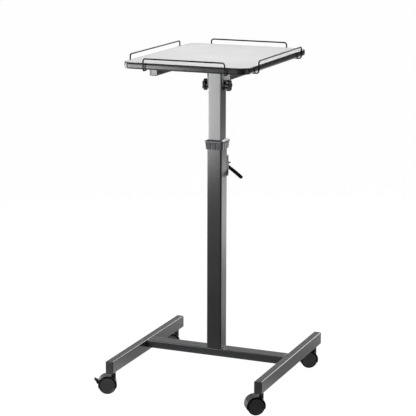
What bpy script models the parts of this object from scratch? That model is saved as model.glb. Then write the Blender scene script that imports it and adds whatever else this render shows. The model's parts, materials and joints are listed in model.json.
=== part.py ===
# Audio visual cart: an H-shaped foot on four casters, a telescoping mast and a tilting top.
# Metres, +Z up. The cart faces -Y, its own left is -X, and it stands on z = 0.

import math

import bmesh
import bpy
from mathutils import Vector

# Clearances and cutters
seat_gap = 0.0003
running_gap = 0.0008
overrun = 0.004

# Facets
full_turn = 2 * math.pi
quarter_turn = math.pi / 2
corner_steps = 3
tabletop_corner_steps = 6
wheel_steps = 20
hood_steps = 14
round_steps = 20
small_round_steps = 14
fine_round_steps = 10
bend_steps = 4

# Foot
runner_length = 0.563
runner_spacing = 0.502
runner_width = 0.025
runner_height = 0.040
runner_wall = 0.0015
runner_corner = 0.003
runner_bottom = 0.070
crossbar_depth = 0.050
crossbar_height = 0.025
crossbar_wall = 0.0015
crossbar_corner = 0.003
end_cap_thickness = 0.004
end_cap_round = 0.0015
end_cap_insert = 0.014

# Mast
lower_mast_width = 0.050
lower_mast_wall = 0.0015
lower_mast_corner = 0.005
lower_mast_length = 0.676
upper_mast_width = 0.044
upper_mast_wall = 0.0015
upper_mast_corner = 0.004
upper_mast_length = 0.670
mast_overlap = 0.4478
top_cap_flange = 0.0027
top_cap_insert = 0.014
guide_sleeve_flange = 0.014
guide_sleeve_insert = 0.020

# Mast collar
collar_skirt_length = 0.0215
collar_skirt_flare = 0.0020
collar_skirt_wall = 0.0033
collar_slot_depth = 0.0016
collar_groove = 0.0010
collar_rim_height = 0.0084
collar_rim_edge = 0.0012
collar_rim_reach = 0.0012
collar_corner = 0.007
collar_back_reach = 0.004
collar_guide_length = 0.018
collar_slot_width = 0.0045
collar_slot_spacing = 0.019

# Clamp on the back of the lower mast
clamp_block_height = 0.070
clamp_block_depth = 0.0125
clamp_block_edge = 0.004
clamp_below_mast_top = 0.0803
clamp_screw_diameter = 0.010
pressure_pad_length = 0.0045
lever_hub_radius = 0.012
lever_hub_length = 0.039
lever_hub_edge = 0.0015
lever_socket_depth = 0.028
lever_arm_radius = 0.0060
lever_arm_length = 0.0745
lever_arm_fall = 0.0065
lever_arm_rise = 0.012
lever_arm_start = 0.020
lever_angle = math.radians(33)
lever_tab_radius = 0.0022
lever_tab_reach = 0.0185
lever_tab_angle = math.radians(-9)

# Tilt head
pivot_below_mast_end = 0.041
pivot_rod_diameter = 0.008
pivot_rod_length = 0.080
washer_radius = 0.015
washer_thickness = 0.0010
bracket_thickness = 0.0030
bracket_depth = 0.040
bracket_corner = 0.005
cheek_end_radius = 0.015
knob_hub_radius = 0.0115
knob_hub_length = 0.0070
knob_radius = 0.0185
knob_length = 0.0105
knob_edge = 0.0020
knob_lobes = 6
knob_lobe_depth = 0.0042
knob_dish_radius = 0.0085
knob_dish_depth = 0.0012

# Frame under the table
rail_width = 0.025
rail_height = 0.025
rail_wall = 0.0015
rail_corner = 0.003
rail_setback = 0.0515
rail_spacing = 0.240
rail_above_pivot = 0.0495
rail_plug_insert = 0.012
rail_plug_inset = 0.0005
rail_plug_dish = 0.0010
rail_plug_border = 0.0030
cross_member_depth = 0.040
cross_member_height = 0.020
cross_member_wall = 0.0020
cross_member_corner = 0.003

# Tabletop
tabletop_width = 0.408
tabletop_depth = 0.543
tabletop_thickness = 0.0195
tabletop_corner = 0.032
moulding_thickness = 0.0026
moulding_crown = 0.0010
moulding_round = 0.0022
tongue_depth = 0.0060
tongue_thickness = 0.0022

# Wire guards
wire_diameter = 0.0045
guard_rail_height = 0.0142
guard_stand_off = 0.0070
guard_hook_drop = 0.0032
guard_hook_inset = 0.016
guard_hole_depth = 0.012
guard_bend = 0.0080
guard_hook_bend = 0.0030
front_guard_setback = 0.072
front_guard_shift = 0.005
back_guard_shift = -0.003
side_guard_setback = 0.0815

# Casters
caster_inset = 0.032
caster_trail = 0.020
wheel_radius = 0.0275
wheel_width = 0.0142
wheel_edge = 0.0015
wheel_rim = 0.0034
wheel_dish = 0.0008
wheel_bore_depth = 0.0105
caster_web = 0.011
hood_radius = 0.0306
hood_rise = 0.0012
hood_shell = 0.0024
hood_width = 0.042
hood_edge = 0.0012
hood_skirt_drop = 0.0048
axle_diameter = 0.006
axle_length = 0.032
axle_boss_radius = 0.0075
axle_boss_height = 0.0004
socket_radius = 0.0073
socket_top = 0.0675
stem_diameter = 0.008
stem_depth = 0.019
stem_thread_diameter = 0.010
stem_thread_length = 0.018
stem_flange_radius = 0.0085
stem_chamfer = 0.0008
weld_nut_radius = 0.0085
weld_nut_height = 0.008
nut_turn = math.radians(7)

# Brake pedals
pedal_arm = 0.0050
pedal_width = 0.017
pedal_pin_radius = 0.0018
pedal_pin_from_axle = 0.0240
pedal_ring_radius = 0.0036
pedal_tab_gap = 0.0012
pedal_heel_thickness = 0.0040
pedal_tip_reach = 0.0138
pedal_tab_low = math.radians(6)
pedal_heel_angle = math.radians(13)
pedal_tip_angle = math.radians(22)
pedal_tab_high = math.radians(25)
pedal_slot_rise = 0.0085

# Heights and places worked out from the sizes above
runner_top = runner_bottom + runner_height
runner_tube_length = runner_length - 2 * (end_cap_thickness + seat_gap)
crossbar_length = runner_spacing - runner_width - 2 * seat_gap
lower_mast_bottom = runner_top + seat_gap
lower_mast_top = lower_mast_bottom + lower_mast_length
upper_mast_bottom = lower_mast_top - mast_overlap
upper_mast_top = upper_mast_bottom + upper_mast_length
pivot_height = upper_mast_top - pivot_below_mast_end
rail_bottom = pivot_height + rail_above_pivot
board_bottom = rail_bottom + rail_height + seat_gap
board_top = board_bottom + tabletop_thickness
moulding_reach = seat_gap + moulding_thickness + moulding_crown
board_width = tabletop_width - 2 * moulding_reach
board_depth = tabletop_depth - 2 * moulding_reach
board_corner = tabletop_corner - moulding_reach
rail_length = tabletop_depth - 2 * rail_setback
wire_radius = wire_diameter / 2
front_guard_length = tabletop_width - 2 * front_guard_setback
side_guard_length = tabletop_depth - 2 * side_guard_setback
clamp_height = lower_mast_top - clamp_below_mast_top
clamp_block_face = lower_mast_width / 2 + seat_gap + clamp_block_depth
caster_x = runner_spacing / 2
caster_y = runner_length / 2 - caster_inset


# Casters: side, end, heading, braked
casters = {
    "front_left": (-1, -1, math.radians(26), True),
    "front_right": (1, -1, math.radians(34), False),
    "back_left": (-1, 1, math.radians(30), False),
    "back_right": (1, 1, math.radians(30), True),
}


def cart_offset():
    """Moves the middle of the cart's outline, casters included, onto the origin."""
    guard_edge = tabletop_depth / 2 + guard_stand_off + wire_radius
    reach_x = []
    reach_y = [-guard_edge, guard_edge]
    half = hood_width / 2 - hood_edge
    for side, end, heading, _ in casters.values():
        along = math.cos(heading)
        across = math.sin(heading)
        for way in (-1, 1):
            axle_x = side * caster_x - caster_trail * along
            axle_y = end * caster_y - caster_trail * across
            reach_x.append(axle_x + way * (hood_radius * along + half * across))
            reach_y.append(axle_y + way * (hood_radius * across + half * along))
    middle_x = (min(reach_x) + max(reach_x)) / 2
    middle_y = (min(reach_y) + max(reach_y)) / 2
    return Vector((-middle_x, -middle_y, 0))


# Finishes: colour, roughness, metallic
finishes = {
    "graphite_paint": ((0.105, 0.105, 0.110), 0.42, 0.55),
    "silver_paint": ((0.42, 0.42, 0.43), 0.38, 0.70),
    "table_laminate": ((0.66, 0.66, 0.66), 0.45, 0.0),
    "grey_moulding": ((0.085, 0.085, 0.09), 0.40, 0.0),
    "black_plastic": ((0.016, 0.016, 0.017), 0.45, 0.0),
    "dark_plastic": ((0.045, 0.045, 0.047), 0.50, 0.0),
    "grey_plastic": ((0.13, 0.13, 0.14), 0.45, 0.0),
    "light_plastic": ((0.34, 0.34, 0.34), 0.50, 0.0),
    "white_nylon": ((0.72, 0.72, 0.69), 0.45, 0.0),
    "wheel_tread": ((0.035, 0.035, 0.036), 0.60, 0.0),
    "black_wire": ((0.012, 0.012, 0.013), 0.30, 0.0),
    "zinc_steel": ((0.55, 0.55, 0.54), 0.32, 1.0),
}


# Scene and objects
def clear_scene():
    for item in list(bpy.data.objects):
        bpy.data.objects.remove(item, do_unlink=True)


def make_material(name, finish):
    colour, roughness, metallic = finishes[finish]
    material = bpy.data.materials.new(name + "_finish")
    material.use_nodes = True
    shader = material.node_tree.nodes["Principled BSDF"]
    shader.inputs["Base Color"].default_value = (*colour, 1)
    shader.inputs["Roughness"].default_value = roughness
    shader.inputs["Metallic"].default_value = metallic
    material.diffuse_color = (*colour, 1)
    return material


def make_empty(name, parent, place=(0, 0, 0), turn=(0, 0, 0)):
    empty = bpy.data.objects.new(name, None)
    empty.empty_display_size = wheel_radius
    empty.location = place
    empty.rotation_euler = turn
    empty.parent = parent
    bpy.context.scene.collection.objects.link(empty)
    return empty


def make_piece(name, shape, finish, parent, place=(0, 0, 0), turn=(0, 0, 0)):
    """Turns a bmesh into a named, smoothly shaded object."""
    mesh = bpy.data.meshes.new(name)
    shape.to_mesh(mesh)
    shape.free()
    mesh.shade_smooth()
    mesh.set_sharp_from_angle(angle=math.radians(35))
    piece = bpy.data.objects.new(name, mesh)
    piece.location = place
    piece.rotation_euler = turn
    piece.parent = parent
    mesh.materials.append(make_material(name, finish))
    bpy.context.scene.collection.objects.link(piece)
    return piece


def make_helper(name, shape, parent, place=(0, 0, 0), turn=(0, 0, 0)):
    """A shape that only adds to or cuts another piece."""
    mesh = bpy.data.meshes.new(name)
    shape.to_mesh(mesh)
    shape.free()
    helper = bpy.data.objects.new(name, mesh)
    helper.location = place
    helper.rotation_euler = turn
    helper.parent = parent
    helper.hide_render = True
    helper.display_type = "WIRE"
    bpy.context.scene.collection.objects.link(helper)
    return helper


def combine(piece, helper, operation):
    modifier = piece.modifiers.new(helper.name, "BOOLEAN")
    modifier.operation = operation
    modifier.object = helper


# Shapes
def loft(rings, closed=False):
    """Skins rings of equally many points; a closed loft joins the last ring to the first."""
    shape = bmesh.new()
    loops = [[shape.verts.new(point) for point in ring] for ring in rings]
    pairs = list(zip(loops, loops[1:]))
    if closed:
        pairs.append((loops[-1], loops[0]))
    else:
        shape.faces.new(reversed(loops[0]))
        shape.faces.new(loops[-1])
    for lower, upper in pairs:
        for index, point in enumerate(lower):
            follow = (index + 1) % len(lower)
            shape.faces.new((point, lower[follow], upper[follow], upper[index]))
    bmesh.ops.recalc_face_normals(shape, faces=shape.faces)
    return shape


def turned(profile, steps, bored=False):
    """Turns a profile of (radius, height) points about Z; a bored one closes on itself."""
    shape = bmesh.new()
    points = [shape.verts.new((radius, 0, height)) for radius, height in profile]
    pairs = list(zip(points, points[1:]))
    if bored:
        pairs.append((points[-1], points[0]))
    edges = [shape.edges.new(pair) for pair in pairs]
    bmesh.ops.spin(
        shape,
        geom=points + edges,
        axis=(0, 0, 1),
        cent=(0, 0, 0),
        steps=steps,
        angle=full_turn,
        use_merge=True,
    )
    bmesh.ops.remove_doubles(shape, verts=shape.verts, dist=seat_gap / 100)
    bmesh.ops.recalc_face_normals(shape, faces=shape.faces)
    return shape


def extruded(outline, depth):
    """Extrudes a flat outline from z = 0 to its depth."""
    shape = bmesh.new()
    face = shape.faces.new([shape.verts.new((x, y, 0)) for x, y in outline])
    grown = bmesh.ops.extrude_face_region(shape, geom=[face])
    moved = [item for item in grown["geom"] if isinstance(item, bmesh.types.BMVert)]
    bmesh.ops.translate(shape, verts=moved, vec=(0, 0, depth))
    bmesh.ops.recalc_face_normals(shape, faces=shape.faces)
    return shape


def block(width, depth, height):
    """A box that stands on z = 0 about the Z axis."""
    shape = bmesh.new()
    bmesh.ops.create_cube(shape, size=1)
    bmesh.ops.scale(shape, verts=shape.verts, vec=(width, depth, height))
    bmesh.ops.translate(shape, verts=shape.verts, vec=(0, 0, height / 2))
    return shape


def cylinder(radius, height, steps=small_round_steps):
    return turned(((0, 0), (radius, 0), (radius, height), (0, height)), steps)


def arc(centre_x, centre_y, radius, start, end, steps):
    angles = [start + (end - start) * step / steps for step in range(steps + 1)]
    return [
        (centre_x + radius * math.cos(angle), centre_y + radius * math.sin(angle))
        for angle in angles
    ]


def rounded_rectangle(width, depth, radius, steps=corner_steps):
    outline = []
    for quarter, (side_x, side_y) in enumerate(((1, 1), (-1, 1), (-1, -1), (1, -1))):
        start = quarter * quarter_turn
        centre_x = side_x * (width / 2 - radius)
        centre_y = side_y * (depth / 2 - radius)
        outline += arc(centre_x, centre_y, radius, start, start + quarter_turn, steps)
    return outline


def section(width, depth, radius, height, steps=corner_steps):
    """One ring of a loft: a rounded rectangle at a height."""
    outline = rounded_rectangle(width, depth, radius, steps)
    return [(x, y, height) for x, y in outline]


def square_section(half_width, radius, height):
    return section(2 * half_width, 2 * half_width, radius, height)


def rectangular_tube(width, depth, wall, corner, length):
    """An open tube from z = 0 to its length."""
    bore_width = width - 2 * wall
    bore_depth = depth - 2 * wall
    return loft(
        (
            section(width, depth, corner, 0),
            section(width, depth, corner, length),
            section(bore_width, bore_depth, corner - wall, length),
            section(bore_width, bore_depth, corner - wall, 0),
        ),
        closed=True,
    )


def filleted_path(points, bends, steps=bend_steps):
    """A path whose inner corners are rounded, each with its own bend radius."""
    corners = [Vector(point) for point in points]
    path = [corners[0]]
    for before, corner, after, bend in zip(corners, corners[1:], corners[2:], bends):
        back = (before - corner).normalized()
        ahead = (after - corner).normalized()
        half = back.angle(ahead) / 2
        centre = corner + (back + ahead).normalized() * bend / math.sin(half)
        start = (corner + back * bend / math.tan(half) - centre).normalized()
        end = (corner + ahead * bend / math.tan(half) - centre).normalized()
        for step in range(steps + 1):
            path.append(centre + start.slerp(end, step / steps) * bend)
    path.append(corners[-1])
    return path


def cutter_row(shapes, places):
    """Joins the same shape at several places into one cutter."""
    whole = bmesh.new()
    for shape, place in zip(shapes, places):
        copy = shape.copy()
        bmesh.ops.translate(copy, verts=copy.verts, vec=place)
        mesh = bpy.data.meshes.new("copy")
        copy.to_mesh(mesh)
        copy.free()
        whole.from_mesh(mesh)
        bpy.data.meshes.remove(mesh)
    return whole


# Foot
def make_runner(name, side, base):
    """A runner tube along Y, with a weld nut inside its floor over each caster."""
    tube = rectangular_tube(
        runner_width, runner_height, runner_wall, runner_corner, runner_tube_length
    )
    middle_x = side * runner_spacing / 2
    runner = make_piece(
        name,
        tube,
        "graphite_paint",
        base,
        (middle_x, runner_tube_length / 2, runner_bottom + runner_height / 2),
        (quarter_turn, 0, 0),
    )
    nut_bottom = runner_bottom + runner_wall / 2
    nut_height = weld_nut_height + runner_wall / 2
    hole_radius = stem_thread_diameter / 2 + seat_gap
    for end in (-1, 1):
        label = f"{name}_{'front' if end < 0 else 'back'}"
        turn = (0, 0, nut_turn)
        nut = cylinder(weld_nut_radius, nut_height, fine_round_steps)
        place = (middle_x, end * caster_y, nut_bottom)
        combine(runner, make_helper(label + "_nut", nut, base, place, turn), "UNION")
        depth = nut_height + runner_wall + 2 * overrun
        hole = cylinder(hole_radius, depth, fine_round_steps)
        place = (middle_x, end * caster_y, runner_bottom - overrun)
        combine(runner, make_helper(label + "_hole", hole, base, place, turn), "DIFFERENCE")
    return runner


def end_cap_shape():
    """A tube plug with a flange: the flange is from z = 0 out."""
    bore_width = runner_width - 2 * (runner_wall + seat_gap)
    bore_height = runner_height - 2 * (runner_wall + seat_gap)
    bore_corner = runner_corner - runner_wall
    face_width = runner_width - 2 * end_cap_round
    face_height = runner_height - 2 * end_cap_round
    flange_top = end_cap_thickness
    return loft(
        (
            section(bore_width, bore_height, bore_corner, -end_cap_insert),
            section(bore_width, bore_height, bore_corner, 0),
            section(runner_width, runner_height, runner_corner, 0),
            section(runner_width, runner_height, runner_corner, flange_top - end_cap_round),
            section(face_width, face_height, runner_corner - end_cap_round / 2, flange_top),
        )
    )


def make_foot(base):
    for label, side in (("left", -1), ("right", 1)):
        make_runner(label + "_runner", side, base)
        for end_name, end in (("front", -1), ("back", 1)):
            face_y = end * (runner_tube_length / 2 + seat_gap)
            make_piece(
                f"{end_name}_{label}_end_cap",
                end_cap_shape(),
                "dark_plastic",
                base,
                (side * runner_spacing / 2, face_y, runner_bottom + runner_height / 2),
                (-end * quarter_turn, 0, 0),
            )
    crossbar = rectangular_tube(
        crossbar_height, crossbar_depth, crossbar_wall, crossbar_corner, crossbar_length
    )
    make_piece(
        "crossbar",
        crossbar,
        "graphite_paint",
        base,
        (-crossbar_length / 2, 0, runner_top - crossbar_height / 2),
        (0, quarter_turn, 0),
    )


# Lower mast, its collar and its clamp
def make_lower_mast(base):
    tube = rectangular_tube(
        lower_mast_width,
        lower_mast_width,
        lower_mast_wall,
        lower_mast_corner,
        lower_mast_length,
    )
    mast = make_piece(
        "lower_mast_tube", tube, "graphite_paint", base, (0, 0, lower_mast_bottom)
    )
    hole = cylinder(clamp_screw_diameter / 2 + seat_gap, lower_mast_wall + 2 * overrun)
    inner_face = lower_mast_width / 2 - lower_mast_wall
    helper = make_helper(
        "lower_mast_clamp_hole",
        hole,
        base,
        (0, inner_face - overrun, clamp_height),
        (-quarter_turn, 0, 0),
    )
    combine(mast, helper, "DIFFERENCE")


def collar_section(half_width, radius, height):
    """A ring of the collar's outer side, which reaches further at the back."""
    depth = 2 * half_width + collar_back_reach
    outline = rounded_rectangle(2 * half_width, depth, radius)
    return [(x, y + collar_back_reach / 2, height) for x, y in outline]


def make_mast_collar(base):
    """A guide that sits on the mouth of the lower tube, with a skirt on each side of its wall."""
    slot_outer = lower_mast_width / 2 + seat_gap
    slot_inner = lower_mast_width / 2 - lower_mast_wall - seat_gap
    slot_outer_corner = lower_mast_corner + seat_gap
    slot_inner_corner = lower_mast_corner - lower_mast_wall
    mouth = upper_mast_width / 2 + seat_gap
    mouth_corner = upper_mast_corner + seat_gap
    skirt_bottom = slot_outer + collar_skirt_wall
    skirt_top = skirt_bottom + collar_skirt_flare
    rim = skirt_top + collar_rim_reach
    groove_top = seat_gap + collar_groove
    rim_top = groove_top + collar_rim_height
    rings = (
        collar_section(skirt_bottom, collar_corner, -collar_skirt_length),
        collar_section(skirt_top, collar_corner, seat_gap),
        collar_section(skirt_top - collar_groove, collar_corner, seat_gap),
        collar_section(skirt_top - collar_groove, collar_corner, groove_top),
        collar_section(skirt_top, collar_corner, groove_top),
        collar_section(rim, collar_corner, groove_top + collar_rim_edge),
        collar_section(rim, collar_corner, rim_top - collar_rim_edge),
        collar_section(rim - collar_rim_edge, collar_corner, rim_top),
        square_section(mouth, mouth_corner, rim_top),
        square_section(mouth, mouth_corner, -collar_guide_length),
        square_section(slot_inner, slot_inner_corner, -collar_guide_length),
        square_section(slot_inner, slot_inner_corner, seat_gap),
        square_section(slot_outer, slot_outer_corner, seat_gap),
        square_section(slot_outer, slot_outer_corner, -collar_skirt_length),
    )
    collar = make_piece(
        "mast_collar",
        loft(rings, closed=True),
        "grey_plastic",
        base,
        (0, 0, lower_mast_top),
    )
    slot_height = collar_skirt_length + overrun + seat_gap
    slot_reach = collar_slot_depth + collar_skirt_flare + collar_rim_reach + overrun
    slot = block(collar_slot_width, slot_reach, slot_height)
    slot_bottom = lower_mast_top - collar_skirt_length - overrun
    for quarter, face in enumerate(("back", "left", "front", "right")):
        floor = skirt_bottom - collar_slot_depth + (collar_back_reach if face == "back" else 0)
        places = [(side * collar_slot_spacing / 2, floor + slot_reach / 2, 0) for side in (-1, 1)]
        turn = (0, 0, quarter * quarter_turn)
        cutters = cutter_row([slot, slot], places)
        helper = make_helper(f"collar_{face}_slots", cutters, base, (0, 0, slot_bottom), turn)
        combine(collar, helper, "DIFFERENCE")
    slot.free()


def make_clamp(base):
    """The welded block behind the mast, bored for the clamping screw, and the pad that it drives."""
    width = lower_mast_width
    edge = clamp_block_edge
    height = clamp_block_height
    rings = (
        section(width, height, edge, 0),
        section(width, height, edge, clamp_block_depth - edge / 2),
        section(width - edge, height - 2 * edge, edge / 2, clamp_block_depth),
    )
    face_y = lower_mast_width / 2 + seat_gap
    clamp = make_piece(
        "clamp_block",
        loft(rings),
        "graphite_paint",
        base,
        (0, face_y, clamp_height),
        (-quarter_turn, 0, 0),
    )
    bore = cylinder(clamp_screw_diameter / 2 + seat_gap, clamp_block_depth + 2 * overrun)
    helper = make_helper(
        "clamp_bore", bore, base, (0, face_y - overrun, clamp_height), (-quarter_turn, 0, 0)
    )
    combine(clamp, helper, "DIFFERENCE")
    make_piece(
        "pressure_pad",
        cylinder(clamp_screw_diameter / 2, pressure_pad_length),
        "white_nylon",
        base,
        (0, upper_mast_width / 2 + seat_gap, clamp_height),
        (-quarter_turn, 0, 0),
    )


def lever_arm_ring(share, count):
    """One ring of the handle, which leaves the hub square to it, rises and bends down."""
    reach = lever_arm_length * share
    fall = lever_arm_fall * share * share
    rise = lever_arm_start + lever_arm_rise * share
    slope = math.atan2(2 * lever_arm_fall * share, lever_arm_length)
    ring = []
    for index in range(count):
        angle = full_turn * index / count
        across = lever_arm_radius * math.cos(angle)
        up = lever_arm_radius * math.sin(angle)
        ring.append((reach - across * math.sin(slope), fall + across * math.cos(slope), rise + up))
    return ring


def rounded_end(ring, share):
    """Shrinks a ring towards its middle, for the handle's round tip."""
    middle = sum((Vector(point) for point in ring), Vector()) / len(ring)
    return [middle + (Vector(point) - middle) * share for point in ring]


def make_clamp_lever(cart):
    pivot = make_empty(
        "clamp_lever_axis",
        cart,
        (0, clamp_block_face + seat_gap, clamp_height),
        (-quarter_turn, 0, 0),
    )
    radius = lever_hub_radius
    edge = lever_hub_edge
    socket = clamp_screw_diameter / 2 + seat_gap
    profile = (
        (socket, 0),
        (radius - edge, 0),
        (radius, edge),
        (radius, lever_hub_length - 2 * edge),
        (radius - edge, lever_hub_length - edge / 2),
        (radius - 3 * edge, lever_hub_length),
        (0, lever_hub_length),
        (0, lever_socket_depth),
        (socket, lever_socket_depth),
    )
    hub = turned(profile, round_steps, bored=True)
    turn = (0, 0, lever_angle)
    lever = make_piece("clamp_lever", hub, "black_plastic", pivot, turn=turn)
    arm_sides = 10
    start_share = lever_hub_radius / 2 / lever_arm_length
    along_shares = (start_share, 0.25, 0.45, 0.65, 0.85, 0.95)
    tip_shares = ((0.975, 0.92), (0.992, 0.70), (1.0, 0.35))
    rings = [lever_arm_ring(share, arm_sides) for share in along_shares]
    rings += [rounded_end(lever_arm_ring(share, arm_sides), size) for share, size in tip_shares]
    arm = make_helper("clamp_lever_arm", loft(rings), pivot, turn=turn)
    combine(lever, arm, "UNION")
    tab = cylinder(lever_tab_radius, lever_tab_reach - socket - overrun / 2, fine_round_steps)
    tab_start = socket + overrun / 2
    place = (
        tab_start * math.cos(lever_tab_angle),
        tab_start * math.sin(lever_tab_angle),
        lever_hub_length - 3 * lever_tab_radius,
    )
    tab_turn = (0, quarter_turn, lever_tab_angle)
    combine(lever, make_helper("clamp_lever_tab", tab, pivot, place, tab_turn), "UNION")
    screw_start = upper_mast_width / 2 + 2 * seat_gap + pressure_pad_length
    screw_bottom = screw_start - clamp_block_face - seat_gap
    screw_top = lever_socket_depth - seat_gap
    chamfer = stem_chamfer
    thread = clamp_screw_diameter / 2
    screw = turned(
        (
            (0, screw_bottom),
            (thread - chamfer, screw_bottom),
            (thread, screw_bottom + chamfer),
            (thread, screw_top),
            (0, screw_top),
        ),
        small_round_steps,
    )
    make_piece("clamp_screw", screw, "zinc_steel", pivot)


# Upper mast
def make_upper_mast(mast):
    """The inner tube, hung from its own empty at the pivot's height."""
    bottom = upper_mast_bottom - pivot_height
    top = upper_mast_top - pivot_height
    tube = rectangular_tube(
        upper_mast_width,
        upper_mast_width,
        upper_mast_wall,
        upper_mast_corner,
        upper_mast_length,
    )
    upper = make_piece("upper_mast_tube", tube, "silver_paint", mast, (0, 0, bottom))
    hole = cylinder(pivot_rod_diameter / 2 + seat_gap, upper_mast_width + 2 * overrun)
    hole_start = -upper_mast_width / 2 - overrun
    helper = make_helper(
        "upper_mast_pivot_hole", hole, mast, (hole_start, 0, 0), (0, quarter_turn, 0)
    )
    combine(upper, helper, "DIFFERENCE")
    bore = upper_mast_width / 2 - upper_mast_wall - seat_gap
    bore_corner = upper_mast_corner - upper_mast_wall
    guide = lower_mast_width / 2 - lower_mast_wall - seat_gap
    guide_corner = lower_mast_corner - lower_mast_wall
    outer = upper_mast_width / 2
    sleeve = loft(
        (
            square_section(guide, guide_corner, -guide_sleeve_flange),
            square_section(guide, guide_corner, -seat_gap),
            square_section(bore, bore_corner, -seat_gap),
            square_section(bore, bore_corner, guide_sleeve_insert),
        )
    )
    make_piece("mast_guide_sleeve", sleeve, "white_nylon", mast, (0, 0, bottom))
    cap = loft(
        (
            square_section(bore, bore_corner, -top_cap_insert),
            square_section(bore, bore_corner, seat_gap),
            square_section(outer, upper_mast_corner, seat_gap),
            square_section(outer, upper_mast_corner, top_cap_flange / 2),
            square_section(outer - top_cap_flange / 2, upper_mast_corner, top_cap_flange),
        )
    )
    make_piece("mast_top_cap", cap, "dark_plastic", mast, (0, 0, top))


def make_pivot(mast):
    rod_radius = pivot_rod_diameter / 2
    chamfer = stem_chamfer
    half = pivot_rod_length / 2
    rod = turned(
        (
            (0, -half),
            (rod_radius - chamfer, -half),
            (rod_radius, chamfer - half),
            (rod_radius, half - chamfer),
            (rod_radius - chamfer, half),
            (0, half),
        ),
        small_round_steps,
    )
    make_piece("pivot_rod", rod, "zinc_steel", mast, turn=(0, quarter_turn, 0))
    bore = rod_radius + seat_gap
    for label, side in (("left", -1), ("right", 1)):
        washer = turned(
            (
                (bore, 0),
                (washer_radius, 0),
                (washer_radius, washer_thickness),
                (bore, washer_thickness),
            ),
            small_round_steps,
            bored=True,
        )
        place = (side * (upper_mast_width / 2 + seat_gap), 0, 0)
        turn = (0, side * quarter_turn, 0)
        make_piece(f"{label}_friction_washer", washer, "dark_plastic", mast, place, turn)


def lobed_ring(radius, height, count=7 * knob_lobes):
    """A knob's outline: lobes with rounded hollows between them."""
    ring = []
    for index in range(count):
        angle = full_turn * index / count
        hollow = (1 - math.cos(knob_lobes * angle)) / 2
        reach = radius - knob_lobe_depth * hollow * hollow * radius / knob_radius
        ring.append((reach * math.cos(angle), reach * math.sin(angle), height))
    return ring


def round_ring(radius, height, count=7 * knob_lobes):
    return [(x, y, height) for x, y in arc(0, 0, radius, 0, full_turn, count)[:-1]]


def make_knobs(mast):
    """A star knob on each end of the pivot rod, with its hub against the cheek."""
    cheek_face = upper_mast_width / 2 + washer_thickness + 3 * seat_gap + bracket_thickness
    bore = pivot_rod_diameter / 2 + seat_gap
    grip = knob_hub_length
    top = grip + knob_length
    bore_depth = pivot_rod_length / 2 - cheek_face
    rings = (
        round_ring(knob_hub_radius, 0),
        round_ring(knob_hub_radius, grip),
        lobed_ring(knob_radius - knob_edge, grip),
        lobed_ring(knob_radius, grip + knob_edge),
        lobed_ring(knob_radius, top - knob_edge),
        lobed_ring(knob_radius - knob_edge, top),
        round_ring(knob_dish_radius, top),
        round_ring(knob_dish_radius - knob_dish_depth, top - knob_dish_depth),
    )
    half_lobe = math.pi / knob_lobes
    for label, side, rest_turn in (("left", -1, 0), ("right", 1, half_lobe)):
        place = (side * (cheek_face + seat_gap), 0, 0)
        axis = make_empty(f"{label}_knob_axis", mast, place, (0, side * quarter_turn, 0))
        name = f"{label}_tilt_knob"
        knob = make_piece(name, loft(rings), "black_plastic", axis, turn=(0, 0, rest_turn))
        hole = cylinder(bore, bore_depth + overrun)
        helper = make_helper(name + "_bore", hole, axis, (0, 0, -overrun))
        combine(knob, helper, "DIFFERENCE")


# Table frame
def make_rail_frame(table):
    """Two rails and the member between them, from an empty on the tilt axis."""
    middle = rail_above_pivot + rail_height / 2
    for label, side in (("left", -1), ("right", 1)):
        tube = rectangular_tube(rail_width, rail_height, rail_wall, rail_corner, rail_length)
        place = (side * rail_spacing / 2, rail_length / 2, middle)
        turn = (quarter_turn, 0, 0)
        make_piece(f"{label}_support_rail", tube, "graphite_paint", table, place, turn)
        for end_name, end in (("front", -1), ("back", 1)):
            face_y = end * (rail_length / 2 - rail_plug_inset)
            make_piece(
                f"{end_name}_{label}_rail_plug",
                rail_plug_shape(),
                "light_plastic",
                table,
                (side * rail_spacing / 2, face_y, middle),
                (-end * quarter_turn, 0, 0),
            )
    cross_length = rail_spacing - rail_width - 2 * seat_gap
    cross = rectangular_tube(
        cross_member_height,
        cross_member_depth,
        cross_member_wall,
        cross_member_corner,
        cross_length,
    )
    cross_bottom = rail_above_pivot + bracket_thickness + seat_gap
    make_piece(
        "cross_member",
        cross,
        "graphite_paint",
        table,
        (-cross_length / 2, 0, cross_bottom + cross_member_height / 2),
        (0, quarter_turn, 0),
    )


def rail_plug_shape():
    """A plug that fills a rail's end, with a shallow dish in its face at z = 0."""
    width = rail_width - 2 * (rail_wall + seat_gap)
    height = rail_height - 2 * (rail_wall + seat_gap)
    corner = rail_corner - rail_wall
    border = 2 * rail_plug_border
    slope = border + 2 * rail_plug_dish
    return loft(
        (
            section(width, height, corner, -rail_plug_insert),
            section(width, height, corner, 0),
            section(width - border, height - border, corner, 0),
            section(width - slope, height - slope, corner, -rail_plug_dish),
        )
    )


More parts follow.
